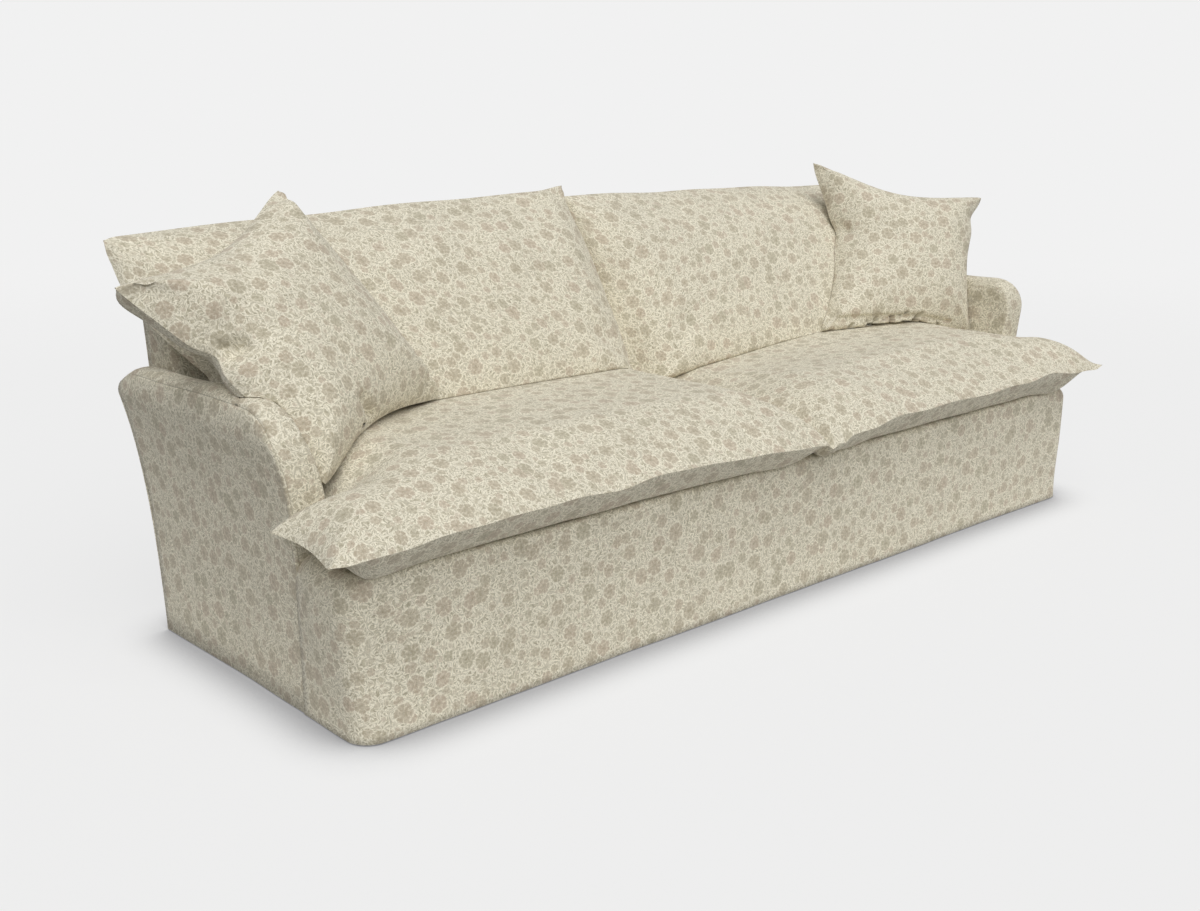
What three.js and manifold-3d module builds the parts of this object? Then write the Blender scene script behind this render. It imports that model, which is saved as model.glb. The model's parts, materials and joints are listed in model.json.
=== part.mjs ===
import * as THREE from "three";
import { mergeVertices } from "three/addons/utils/BufferGeometryUtils.js";
import Module from "manifold-3d";

const wasm = await Module();
wasm.setup();

// A four-seat sofa in a fitted loose cover, with feather-filled seat, back and scatter cushions.
// Millimetres: X runs along the seat, Y to the back and Z up. "Left" is the side at minus X.

// Overall sizes
const baseWidth = 2470;
const baseDepth = 810;
const deckHeight = 335;
const armHeight = 622;
const backHeight = 775;
const outsideRake = 80; // how far the outside back leans out at the height of the back
const insideBackAtDeck = 120; // from the foot of the outside back forward to the inside back, at the deck
const insideRake = 104; // how far the inside back leans out between deck and top
const backSideSetback = 35; // the side of the back stands in from the side of the base
const frontBlockDepth = 195; // the part of the base that stands in front of the arms

// Fits and walls
const gap = 0.3;
const weld = 0.01; // points nearer than this are one point
const cut = 40; // overrun of every cutting solid
const coverWall = 4;
const armPadWall = 14;
const backPadWall = 18;
const frontPadWall = 10;
const hemGap = 2;

// Arms
const armThickness = 80;
const armFlare = 42; // how far the head of the arm stands out past the base
const armFlarePower = 3.2;
const armHeadHeight = 70;
const armHeadPower = 2.6;
const armFrontCurveDepth = 150;
const armFrontCurveHeight = 165;
const armRearCurveDepth = 150;
const armRearCurveHeight = 44;

// Base block corners
const blockCornerRadius = 48;
const blockShoulderRadius = 42;
const blockEdgeRadius = 16;
const backTopRadius = 24;

// Hardwood frame
const railThickness = 25;
const footHeight = 60;
const footTopRadius = 30;
const footFloorRadius = 24;
const bearerSpacing = 600;
const springRailHeight = 104;
const springRailSetback = 12;
const cornerBlockLeg = 95;
const cornerBlockHeight = 90;
const boardThickness = 25;
const armFrontBoardSetback = 26;
const armRearBoardInset = 62;
const armTopRailHeight = 46;
const armTackRailHeight = 42;
const armTackRailDepth = 26;
const postWidth = 35;
const postFootDepth = 74;
const topRailHeight = 30;
const lowerRailHeight = 50;
const lowerRailDepth = 26;
const hessianWall = 2;
const dustCoverWall = 2;
const dustCoverMargin = 16;
const footHoleClearance = 1.5;

// Zigzag seat springs
const springsPerSeat = 4;
const springWire = 4;
const springRise = 8;
const springLoops = 12;
const springHalfWidth = 24;
const springEndOnRail = 14;
const seatPadWall = 15;

// Seat cushions
const seatSeamRise = 73; // the knife edge above the deck
const seatCrown = 88;
const seatCrownReach = 210;
const seatUndersideReach = 105;
const seatFrontOverhang = 78;
const seatEarReach = 85; // the ear stands out past the side of the base
const seatEarSetback = 40; // the ear's rear edge in front of the arm
const seatShoulderSetback = 13; // the body of the cushion starts this far in front of the arm
const seatCornerDip = 23; // the front corners droop below the seam
const seatSideClearance = 6;
const seatBackClearance = 24;
const seatJoinClearance = 1;
const seatFrontBow = 10;
const seatEarWaist = 26;

// Back cushions
const backCushionLift = 62; // the foot of the cushion above the seam of the seat cushion
const backCushionRise = 111; // its top edge above the top of the back
const backCushionPeak = 38; // its middle corner above its top edge
const backCushionPeakReach = 320;
const backCushionOverhang = 84; // its top corner out past the side of the back
const backCushionBelly = 118;
const backCushionRear = 96;
const backCushionReach = 190;
const backSeamForward = 100; // from the inside back forward to the seam at the foot of the cushion
const backSeamTopSetback = 59; // from the top of the inside back to the seam at the top
const backSeamPower = 1.55;
const backCushionSideClearance = 10;
const backCushionArmClearance = 14;

// Scatter cushions
const scatterDrawInShare = 0.09;
const scatterLeft = { size: 550, thickness: 165, fromSide: 175, aheadOfBack: 223, aboveDeck: 362 };
const scatterLeftTurns = { yaw: 18, lean: -38, roll: -15 };
const scatterRight = { size: 505, thickness: 160, fromSide: 176, aheadOfBack: 177, aboveDeck: 366 };
const scatterRightTurns = { yaw: -36, lean: -28, roll: 10 };

// Derived sizes
const halfWidth = baseWidth / 2;
const halfDepth = baseDepth / 2;
const armFrontY = -halfDepth + frontBlockDepth;
const armHeadBase = armHeight - armHeadHeight;
const backSideX = halfWidth - backSideSetback;
const railTop = deckHeight - coverWall - seatPadWall - springRise - springWire - 3 * gap;
const railFrontY = -halfDepth + coverWall + frontPadWall + 2 * gap;
const railSideX = halfWidth - coverWall - frontPadWall - 2 * gap;
const railBackY = halfDepth - coverWall - 2 * gap;
const sideRailInnerX = railSideX - railThickness;
const frontRailInnerY = railFrontY + railThickness;
const backRailInnerY = railBackY - railThickness;
const springRailBackY = outsideBackY(0) - insideBackAtDeck - springRailSetback;
const armInset = coverWall + armPadWall + 2 * gap;
const backInset = coverWall + backPadWall + 2 * gap;
const seatSeamHeight = deckHeight + seatSeamRise;
const backCushionBottom = seatSeamHeight + backCushionLift;
const backCushionTop = backHeight + backCushionRise;
const backCushionSideX = backSideX + backCushionOverhang;

// Finishes
const beech = new THREE.MeshStandardMaterial({ color: 0xb98f5e, roughness: 0.7, metalness: 0 });
const stainedWood = new THREE.MeshStandardMaterial({ color: 0x4a3020, roughness: 0.45, metalness: 0 });
const steel = new THREE.MeshStandardMaterial({ color: 0x8d9094, roughness: 0.35, metalness: 1 });
const foam = new THREE.MeshStandardMaterial({ color: 0xe6e0cf, roughness: 0.95, metalness: 0 });
const hessian = new THREE.MeshStandardMaterial({ color: 0xa88f63, roughness: 1, metalness: 0 });
const blackCloth = new THREE.MeshStandardMaterial({ color: 0x2a2a2a, roughness: 1, metalness: 0 });
const printedLinen = new THREE.MeshStandardMaterial({ color: 0xc3bba1, roughness: 0.95, metalness: 0 });

const sofa = new THREE.Group();

function outsideBackY(z) {
  return halfDepth + (outsideRake * z) / backHeight;
}

function insideBackY(z) {
  const rise = (z - deckHeight) / (backHeight - deckHeight);
  return halfDepth - insideBackAtDeck + insideRake * rise;
}

function armOuterX(z) {
  return halfWidth + armFlare * Math.min(z / armHeadBase, 1) ** armFlarePower;
}

function addPart(name, geometry, material) {
  const mesh = new THREE.Mesh(geometry, material);
  mesh.name = name;
  sofa.add(mesh);
  return mesh;
}

// Solids

function toSolid(geometry) {
  const bare = geometry.clone();
  bare.deleteAttribute("normal");
  bare.deleteAttribute("uv");
  const merged = mergeVertices(bare, weld);
  return new wasm.Manifold(new wasm.Mesh({
    numProp: 3,
    vertProperties: new Float32Array(merged.attributes.position.array),
    triVerts: new Uint32Array(merged.index.array),
  }));
}

function toGeometry(solid) {
  const mesh = solid.getMesh();
  const geometry = new THREE.BufferGeometry();
  geometry.setAttribute("position", new THREE.BufferAttribute(new Float32Array(mesh.vertProperties), 3));
  geometry.setIndex(new THREE.BufferAttribute(new Uint32Array(mesh.triVerts), 1));
  const faceted = geometry.toNonIndexed();
  faceted.computeVertexNormals();
  return faceted;
}

function boxSolid(x0, x1, y0, y1, z0, z1) {
  const box = new THREE.BoxGeometry(x1 - x0, y1 - y0, z1 - z0);
  box.translate((x0 + x1) / 2, (y0 + y1) / 2, (z0 + z1) / 2);
  return toSolid(box);
}

function prism(outline, depth) {
  const distinct = outline.filter((place, i) => i === 0 || place.distanceTo(outline[i - 1]) > weld);
  return new THREE.ExtrudeGeometry(new THREE.Shape(distinct), { depth, bevelEnabled: false, steps: 1 });
}

// An outline in X and Z, carried along Y.
function prismAlongY(outline, y0, y1) {
  const axes = new THREE.Matrix4().makeBasis(
    new THREE.Vector3(1, 0, 0), new THREE.Vector3(0, 0, 1), new THREE.Vector3(0, -1, 0),
  );
  return toSolid(prism(outline, y1 - y0).applyMatrix4(axes).translate(0, y1, 0));
}

// An outline in Y and Z, carried along X.
function prismAlongX(outline, x0, x1) {
  const axes = new THREE.Matrix4().makeBasis(
    new THREE.Vector3(0, 1, 0), new THREE.Vector3(0, 0, 1), new THREE.Vector3(1, 0, 0),
  );
  return toSolid(prism(outline, x1 - x0).applyMatrix4(axes).translate(x0, 0, 0));
}

function prismAlongZ(outline, z0, z1) {
  return toSolid(prism(outline, z1 - z0).translate(0, 0, z0));
}

function mirrored(solid) {
  return solid.mirror([1, 0, 0]);
}

function point(a, b) {
  return new THREE.Vector2(a, b);
}

// Points of a rounded corner between two directions, from its centre.
function corner(centreA, centreB, radiusA, radiusB, fromTurn, toTurn, steps, power = 2) {
  const points = [];
  for (let i = 0; i <= steps; i += 1) {
    const angle = (fromTurn + ((toTurn - fromTurn) * i) / steps) * Math.PI * 2;
    const across = Math.sign(Math.cos(angle)) * Math.abs(Math.cos(angle)) ** (2 / power);
    const up = Math.sign(Math.sin(angle)) * Math.abs(Math.sin(angle)) ** (2 / power);
    points.push(point(centreA + radiusA * across, centreB + radiusB * up));
  }
  return points;
}

// Upholstered bodies, each drawn at a given depth below its outer face

// The right arm seen from the front: a flared slab with a rounded head.
function armSection(inset) {
  const half = armThickness / 2 - inset;
  const centre = armOuterX(armHeadBase) - armThickness / 2;
  const steps = 7;
  const levels = Array.from({ length: steps }, (_, i) => armHeadBase * (i / steps) ** (1 / 2));
  return [
    point(armOuterX(0) - inset, -cut),
    ...levels.map((z) => point(armOuterX(z) - inset, z)),
    ...corner(centre, armHeadBase, half, armHeadHeight - inset, 0, 1 / 2, 10, armHeadPower),
    ...levels.reverse().map((z) => point(armOuterX(z) - armThickness + inset, z)),
    point(armOuterX(0) - armThickness + inset, -cut),
  ];
}

// The arm seen from the side: an upright front that curves into a level top, falling a little at the rear.
function armSide(inset, rearOverrun) {
  const front = armFrontY + inset;
  const above = armHeight + cut;
  const frontCurveY = front + armFrontCurveDepth;
  const frontCurveZ = armHeight - armFrontCurveHeight;
  const rearInset = coverWall + gap;
  const rearZ = armHeight - armRearCurveHeight;
  const rearY = outsideBackY(rearZ) - rearInset;
  const rearCurveY = rearY - armRearCurveDepth;
  return [
    point(front, -cut),
    ...corner(frontCurveY, frontCurveZ, armFrontCurveDepth, armFrontCurveHeight - inset, 1 / 2, 1 / 4, 8),
    point(frontCurveY, above),
    point(rearCurveY, above),
    ...corner(rearCurveY, rearZ, armRearCurveDepth, armRearCurveHeight - inset, 1 / 4, 0, 5),
    point(rearY + rearOverrun, rearZ),
    point(outsideBackY(-cut) - rearInset + rearOverrun, -cut),
  ];
}

function armBody(inset, rearOverrun = 0) {
  const section = prismAlongY(armSection(inset), -halfDepth, baseDepth);
  return section.intersect(prismAlongX(armSide(inset, rearOverrun), 0, baseWidth));
}

function backSide(inset, bottom, rearOverrun) {
  const top = backHeight - inset;
  const rearInset = coverWall + gap - rearOverrun;
  const radius = Math.max(backTopRadius - inset, gap);
  return [
    point(outsideBackY(bottom) - rearInset, bottom),
    point(outsideBackY(top) - rearInset, top),
    ...corner(insideBackY(top - radius) + inset + radius, top - radius, radius, radius, 1 / 4, 1 / 2, 4),
    point(insideBackY(bottom) + inset, bottom),
  ];
}

function backBody(inset, { bottom = deckHeight, rearOverrun = 0 } = {}) {
  const halfSpan = backSideX - inset;
  const radius = Math.max(backTopRadius - inset, gap);
  const top = backHeight - inset;
  const face = [
    point(halfSpan, bottom - cut),
    ...corner(halfSpan - radius, top - radius, radius, radius, 0, 1 / 4, 4),
    ...corner(-halfSpan + radius, top - radius, radius, radius, 1 / 4, 1 / 2, 4),
    point(-halfSpan, bottom - cut),
  ];
  const slab = prismAlongX(backSide(inset, bottom, rearOverrun), -baseWidth, baseWidth);
  return slab.intersect(prismAlongY(face, 0, baseDepth));
}

// The block of the base in front of the arms, with rounded corners and a soft top edge.
function frontBlock(inset, bottom, rearOverrun = 0) {
  const side = halfWidth - inset;
  const front = -halfDepth + inset;
  const rear = armFrontY - gap + rearOverrun;
  const top = deckHeight - inset;
  const plan = Math.max(blockCornerRadius - inset, gap);
  const shoulder = Math.max(blockShoulderRadius - inset, gap);
  const edge = Math.max(blockEdgeRadius - inset, gap);
  const planOutline = [
    point(side, rear),
    point(-side, rear),
    ...corner(-side + plan, front + plan, plan, plan, 1 / 2, 3 / 4, 6),
    ...corner(side - plan, front + plan, plan, plan, 3 / 4, 1, 6),
  ];
  const faceOutline = [
    point(side, bottom),
    ...corner(side - shoulder, top - shoulder, shoulder, shoulder, 0, 1 / 4, 5),
    ...corner(-side + shoulder, top - shoulder, shoulder, shoulder, 1 / 4, 1 / 2, 5),
    point(-side, bottom),
  ];
  const sideOutline = [
    point(rear, bottom),
    point(rear, top),
    ...corner(front + edge, top - edge, edge, edge, 1 / 4, 1 / 2, 3),
    point(front, bottom),
  ];
  return prismAlongZ(planOutline, bottom, deckHeight + cut)
    .intersect(prismAlongY(faceOutline, -baseDepth, baseDepth))
    .intersect(prismAlongX(sideOutline, -baseWidth, baseWidth));
}

// The loose cover and the padding under it

function aboveLevel(z) {
  return boxSolid(-baseWidth, baseWidth, -baseDepth, baseDepth * 2, z, backHeight * 2);
}

function belowDeckInsideArm() {
  return boxSolid(0, halfWidth - coverWall, -baseDepth, baseDepth * 2, -cut, deckHeight + gap);
}

function armCover() {
  const shell = armBody(0).subtract(armBody(coverWall, cut));
  return shell
    .subtract(belowDeckInsideArm())
    .subtract(backBody(-gap, { rearOverrun: cut }))
    .intersect(aboveLevel(hemGap));
}

function armPad() {
  const outer = armBody(coverWall + gap);
  const inner = armBody(coverWall + gap + armPadWall, cut);
  return outer
    .subtract(inner)
    .subtract(backBody(-gap, { rearOverrun: cut }))
    .intersect(aboveLevel(deckHeight + gap));
}

function backWrap(outerInset, innerInset, bottom) {
  const clearOfArm = armBody(-gap, cut);
  return backBody(outerInset, { bottom })
    .subtract(backBody(innerInset, { bottom: bottom - cut, rearOverrun: cut }))
    .subtract(clearOfArm)
    .subtract(mirrored(clearOfArm));
}

function outsideBackCover() {
  const thicknessLine = [
    point(outsideBackY(hemGap), hemGap),
    point(outsideBackY(backHeight), backHeight),
    point(outsideBackY(backHeight) - coverWall, backHeight),
    point(outsideBackY(hemGap) - coverWall, hemGap),
  ];
  const sheet = prismAlongX(thicknessLine, -baseWidth, baseWidth);
  const arm = armBody(0, cut);
  const between = boxSolid(-halfWidth, halfWidth, 0, baseDepth, -cut, deckHeight);
  const back = backBody(0, { bottom: 0, rearOverrun: cut });
  return sheet.intersect(arm.add(mirrored(arm)).add(between).add(back));
}

function frontWrap(outerInset, innerInset, bottom) {
  const outer = frontBlock(outerInset, bottom);
  return outer.subtract(frontBlock(innerInset, bottom - cut, cut));
}

function deckSheet(bottom, top) {
  const clearOfArm = armBody(-gap, cut);
  return boxSolid(-halfWidth, halfWidth, armFrontY, halfDepth, bottom, top)
    .subtract(clearOfArm)
    .subtract(mirrored(clearOfArm))
    .subtract(backBody(-gap, { bottom: bottom - cut, rearOverrun: cut }));
}

function addCovers() {
  const arm = armCover();
  const pad = armPad();
  addPart("arm_cover_right", toGeometry(arm), printedLinen);
  addPart("arm_cover_left", toGeometry(mirrored(arm)), printedLinen);
  addPart("arm_pad_right", toGeometry(pad), foam);
  addPart("arm_pad_left", toGeometry(mirrored(pad)), foam);
  const padOuter = coverWall + gap;
  addPart("inside_back_cover", toGeometry(backWrap(0, coverWall, deckHeight)), printedLinen);
  addPart("back_pad", toGeometry(backWrap(padOuter, padOuter + backPadWall, deckHeight)), foam);
  addPart("outside_back_cover", toGeometry(outsideBackCover()), printedLinen);
  addPart("front_cover", toGeometry(frontWrap(0, coverWall, hemGap)), printedLinen);
  addPart("front_pad", toGeometry(frontWrap(padOuter, padOuter + frontPadWall, footHeight)), foam);
  const padTop = deckHeight - coverWall - gap;
  addPart("platform_cover", toGeometry(deckSheet(deckHeight - coverWall, deckHeight)), printedLinen);
  addPart("seat_pad", toGeometry(deckSheet(padTop - seatPadWall, padTop)), foam);
}

// The hardwood frame

function addBeam(name, x0, x1, y0, y1, z0, z1) {
  addPart(name, toGeometry(boxSolid(x0, x1, y0, y1, z0, z1)), beech);
}

function addBaseFrame() {
  const inFrontPad = frontBlock(coverWall + frontPadWall + 2 * gap, footHeight - cut, baseDepth);
  const frontRail = boxSolid(-railSideX, railSideX, railFrontY, frontRailInnerY, footHeight, railTop);
  addPart("front_rail", toGeometry(frontRail.intersect(inFrontPad)), beech);
  addBeam("back_rail", -railSideX, railSideX, backRailInnerY, railBackY, footHeight, railTop);
  const sideY0 = frontRailInnerY + gap;
  const sideY1 = backRailInnerY - gap;
  const sideRail = boxSolid(sideRailInnerX, railSideX, sideY0, sideY1, footHeight, railTop);
  const easedRail = sideRail.intersect(inFrontPad);
  addPart("side_rail_right", toGeometry(easedRail), beech);
  addPart("side_rail_left", toGeometry(mirrored(easedRail)), beech);
  const springRailX = sideRailInnerX - gap;
  const springRailFoot = railTop - springRailHeight;
  addBeam(
    "spring_rail", -springRailX, springRailX,
    springRailBackY - railThickness, springRailBackY, springRailFoot, railTop,
  );
  const bearerTop = springRailFoot - gap;
  const halfRail = railThickness / 2;
  const postFootY = backRailInnerY - gap - postFootDepth;
  for (const [name, x, y1] of [
    ["bearer_left", -bearerSpacing, sideY1],
    ["bearer_centre", 0, postFootY - gap],
    ["bearer_right", bearerSpacing, sideY1],
  ]) {
    addBeam(name, x - halfRail, x + halfRail, sideY0, y1, footHeight, bearerTop);
  }
}

function addCornerBlocksAndFeet() {
  const footSides = 20;
  const foot = new THREE.CylinderGeometry(footTopRadius, footFloorRadius, footHeight - gap, footSides);
  foot.rotateX(Math.PI / 2).translate(0, 0, (footHeight - gap) / 2);
  const footInset = cornerBlockLeg / 3;
  const feet = [["foot_centre", 0, 0]];
  for (const [side, sign] of [["left", -1], ["right", 1]]) {
    for (const [end, railY, inward] of [["front", frontRailInnerY, 1], ["back", backRailInnerY, -1]]) {
      const x = sign * (sideRailInnerX - gap);
      const y = railY + inward * gap;
      const triangle = [
        point(x, y), point(x - sign * cornerBlockLeg, y), point(x, y + inward * cornerBlockLeg),
      ];
      const block = prismAlongZ(triangle, footHeight, footHeight + cornerBlockHeight);
      addPart(`corner_block_${end}_${side}`, toGeometry(block), beech);
      feet.push([`foot_${end}_${side}`, x - sign * footInset, y + inward * footInset]);
    }
  }
  const clothX = railSideX - dustCoverMargin;
  let cloth = boxSolid(
    -clothX, clothX, railFrontY + dustCoverMargin, railBackY - dustCoverMargin,
    footHeight - gap - dustCoverWall, footHeight - gap,
  );
  const holeRadius = footTopRadius + footHoleClearance;
  const hole = new THREE.CylinderGeometry(holeRadius, holeRadius, footHeight + cut, footSides);
  hole.rotateX(Math.PI / 2).translate(0, 0, footHeight / 2);
  for (const [name, x, y] of feet) {
    addPart(name, foot.clone().translate(x, y, 0), stainedWood);
    cloth = cloth.subtract(toSolid(hole.clone().translate(x, y, 0)));
  }
  addPart("dust_cover", toGeometry(cloth), blackCloth);
}

function addArmFrame() {
  const inside = armBody(armInset);
  const standing = railTop + gap;
  const frontY = armFrontY + armFrontBoardSetback;
  const rearY = outsideBackY(railTop) - armRearBoardInset - boardThickness;
  const postX = backSideX - backInset + gap;
  const pick = (x0, x1, y0, y1, z0, z1) => boxSolid(x0, x1, y0, y1, z0, z1).intersect(inside);
  const frontBoard = pick(0, baseWidth, frontY, frontY + boardThickness, standing, armHeight);
  const rearBoard = pick(postX, baseWidth, rearY, rearY + boardThickness, standing, armHeight);
  const railY0 = frontY + boardThickness + gap;
  const railY1 = rearY - gap;
  const headZ = armHeight - armInset - armTopRailHeight;
  const topRail = pick(postX, baseWidth, railY0, railY1, headZ, armHeight);
  const tackZ = deckHeight + gap;
  const tackX = armOuterX(tackZ) - armThickness + armInset;
  const tackTop = tackZ + armTackRailHeight;
  const tackRail = pick(tackX, tackX + armTackRailDepth, railY0, railY1, tackZ, tackTop);
  for (const [name, solid] of [
    ["arm_front_board", frontBoard],
    ["arm_rear_board", rearBoard],
    ["arm_top_rail", topRail],
    ["arm_tack_rail", tackRail],
  ]) {
    addPart(`${name}_right`, toGeometry(solid), beech);
    addPart(`${name}_left`, toGeometry(mirrored(solid)), beech);
  }
}

// A back post: upright behind the spring rail, raked above the base.
function backPost(x, foot) {
  const frontInset = backInset + hessianWall + gap;
  const rearInset = coverWall + 2 * gap;
  const postTop = backHeight - backInset - topRailHeight - gap;
  const footRear = backRailInnerY - gap;
  const standing = railTop + gap;
  const outline = [
    point(footRear - postFootDepth, foot),
    point(footRear, foot),
    point(footRear, standing),
    point(outsideBackY(standing) - rearInset, standing),
    point(outsideBackY(postTop) - rearInset, postTop),
    point(insideBackY(postTop) + frontInset, postTop),
    point(Math.max(insideBackY(standing) + frontInset, footRear - postFootDepth), standing),
  ];
  return prismAlongX(outline, x - postWidth / 2, x + postWidth / 2);
}

function rakedSlab(frontInset, depth, x0, x1, z0, z1) {
  const outline = [
    point(insideBackY(z0) + frontInset, z0),
    point(insideBackY(z0) + frontInset + depth, z0),
    point(insideBackY(z1) + frontInset + depth, z1),
    point(insideBackY(z1) + frontInset, z1),
  ];
  return prismAlongX(outline, x0, x1);
}

function addBackFrame() {
  const endX = backSideX - backInset - postWidth / 2;
  const onBlock = footHeight + cornerBlockHeight + gap;
  addPart("back_post_left", toGeometry(backPost(-endX, onBlock)), beech);
  addPart("back_post_centre", toGeometry(backPost(0, footHeight)), beech);
  addPart("back_post_right", toGeometry(backPost(endX, onBlock)), beech);
  const span = backSideX - backInset;
  const top = backHeight - backInset;
  const frontInset = backInset + hessianWall + gap;
  const topDepth = outsideBackY(top - topRailHeight) - insideBackY(top) - frontInset - coverWall - 2 * gap;
  const inside = backBody(backInset, { rearOverrun: cut });
  const topRail = rakedSlab(frontInset, topDepth, -span, span, top - topRailHeight, top);
  addPart("back_top_rail", toGeometry(topRail.intersect(inside)), beech);
  const lowerFoot = deckHeight + gap;
  const lowerTop = lowerFoot + lowerRailHeight;
  const fromX = postWidth / 2 + gap;
  const toX = endX - postWidth / 2 - gap;
  const lower = rakedSlab(frontInset, lowerRailDepth, fromX, toX, lowerFoot, lowerTop);
  addPart("back_lower_rail_right", toGeometry(lower), beech);
  addPart("back_lower_rail_left", toGeometry(mirrored(lower)), beech);
  const web = rakedSlab(backInset, hessianWall, -span, span, lowerFoot, top);
  addPart("back_hessian", toGeometry(web.intersect(inside)), hessian);
}

// A zigzag spring of square-sided wire, clipped to the front rail and the spring rail.
function addSprings() {
  const half = springWire / 2;
  const y0 = frontRailInnerY - springEndOnRail;
  const y1 = springRailBackY - railThickness + springEndOnRail;
  const wire = new THREE.Shape([
    point(-half, -half), point(half, -half), point(half, half), point(-half, half),
  ]);
  const springs = springsPerSeat * 2;
  const turns = springLoops * 2;
  for (let n = 0; n < springs; n += 1) {
    const x = -sideRailInnerX + ((2 * n + 1) * sideRailInnerX) / springs;
    const points = [];
    for (let i = 0; i <= turns; i += 1) {
      const share = i / turns;
      const side = Math.floor(i / 2) % 2 === 0 ? -1 : 1;
      const swing = i === 0 || i === turns ? 0 : side * springHalfWidth;
      const z = railTop + gap + half + springRise * Math.sin(Math.PI * share);
      points.push(new THREE.Vector3(x + swing, y0 + (y1 - y0) * share, z));
    }
    const path = new THREE.CatmullRomCurve3(points, false, "centripetal");
    const wireForm = new THREE.ExtrudeGeometry(wire, { steps: springLoops * 4, extrudePath: path });
    addPart(`seat_spring_${n + 1}`, wireForm, steel);
  }
}

// Soft forms: two faces that meet in a knife edge all round

// rows[i][j] are the places of the knife-edge grid; lift gives each face its height off it.
function cushionGeometry(rows, lift) {
  const positions = [];
  const count = rows.length;
  const width = rows[0].length;
  const rim = [];
  for (let j = 0; j < width; j += 1) rim.push(rows[0][j]);
  for (let i = 1; i < count; i += 1) rim.push(rows[i][width - 1]);
  for (let j = width - 2; j >= 0; j -= 1) rim.push(rows[count - 1][j]);
  for (let i = count - 2; i > 0; i -= 1) rim.push(rows[i][0]);
  const faces = [1, -1].map((side) => rows.map((row, i) => row.map((place, j) => {
    if (i === 0 || j === 0 || i === count - 1 || j === width - 1) return place;
    return lift(place, distanceToRim(place, rim), side);
  })));
  faces.forEach((face, which) => {
    for (let i = 0; i < count - 1; i += 1) {
      for (let j = 0; j < width - 1; j += 1) {
        const quad = [face[i][j], face[i][j + 1], face[i + 1][j + 1], face[i + 1][j]];
        if (which === 1) quad.reverse();
        for (const k of [0, 1, 2, 0, 2, 3]) positions.push(...quad[k].toArray());
      }
    }
  });
  const geometry = new THREE.BufferGeometry();
  geometry.setAttribute("position", new THREE.Float32BufferAttribute(positions, 3));
  geometry.computeVertexNormals();
  return geometry;
}

function distanceToRim(place, rim) {
  let least = Infinity;
  const line = new THREE.Line3();
  const nearest = new THREE.Vector3();
  rim.forEach((start, k) => {
    line.set(start, rim[(k + 1) % rim.length]).closestPointToPoint(place, true, nearest);
    least = Math.min(least, nearest.distanceTo(place));
  });
  return least;
}

// A share of full thickness that rises from the knife edge over a given reach.
function swell(distance, reach) {
  const t = Math.min(distance / reach, 1);
  return (1 - (1 - t) ** 2) ** (3 / 4);
}

// Stations that crowd towards both ends.
function crowded(from, to, count) {
  return Array.from({ length: count + 1 }, (_, i) => {
    const share = (1 - Math.cos((Math.PI * i) / count)) / 2;
    return from + (to - from) * share;
  });
}

function lerp(a, b, share) {
  return a + (b - a) * share;
}

// A T-shaped seat cushion: its front ear wraps round the front of the arm.
function seatCushion() {
  const innerX = seatJoinClearance;
  const armX = armOuterX(seatSeamHeight) - armThickness - seatSideClearance;
  const earX = halfWidth + seatEarReach;
  const frontY = -halfDepth - seatFrontOverhang;
  const earRearY = armFrontY - seatEarSetback;
  const shoulderY = armFrontY - seatShoulderSetback;
  const backY = insideBackY(seatSeamHeight) - seatBackClearance;
  const earRows = crowded(frontY, earRearY, 7);
  const bodyRows = crowded(shoulderY, backY, 9);
  const rows = [...earRows, ...bodyRows].map((y, i) => {
    const onEar = i < earRows.length;
    const earShare = onEar ? (y - frontY) / (earRearY - frontY) : 0;
    const outerX = onEar ? earX - seatEarWaist * Math.sin(Math.PI * earShare) : armX;
    const frontShare = (1 - (y - frontY) / (backY - frontY)) ** 6;
    return crowded(innerX, outerX, 15).map((x) => {
      const acrossShare = (x - innerX) / (outerX - innerX);
      const endShare = Math.abs(2 * acrossShare - 1) ** 6;
      const bow = seatFrontBow * Math.sin(Math.PI * acrossShare) * frontShare;
      return new THREE.Vector3(x, y + bow, seatSeamHeight - seatCornerDip * endShare * frontShare);
    });
  });
  return cushionGeometry(rows, (place, distance, side) => {
    const up = seatCrown * swell(distance, seatCrownReach);
    const down = (place.z - deckHeight - gap) * swell(distance, seatUndersideReach);
    return place.clone().setZ(side > 0 ? place.z + up : place.z - down);
  });
}

// The outer edge of a back cushion: upright between the arms, spreading over their tops.
function backCushionEdgeX(z) {
  const overArm = armHeight + backCushionArmClearance;
  const between = armOuterX(backCushionBottom) - armThickness - backCushionSideClearance;
  if (z <= overArm) return between;
  const share = (z - overArm) / (backCushionTop - overArm);
  return lerp(between, backCushionSideX, Math.sin((share * Math.PI) / 2));
}

function backSeamY(z) {
  const share = (z - backCushionBottom) / (backCushionTop - backCushionBottom);
  const foot = insideBackY(backCushionBottom) - backSeamForward;
  const head = insideBackY(backHeight) + backSeamTopSetback;
  return lerp(foot, head, Math.max(share, 0) ** backSeamPower);
}

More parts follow.
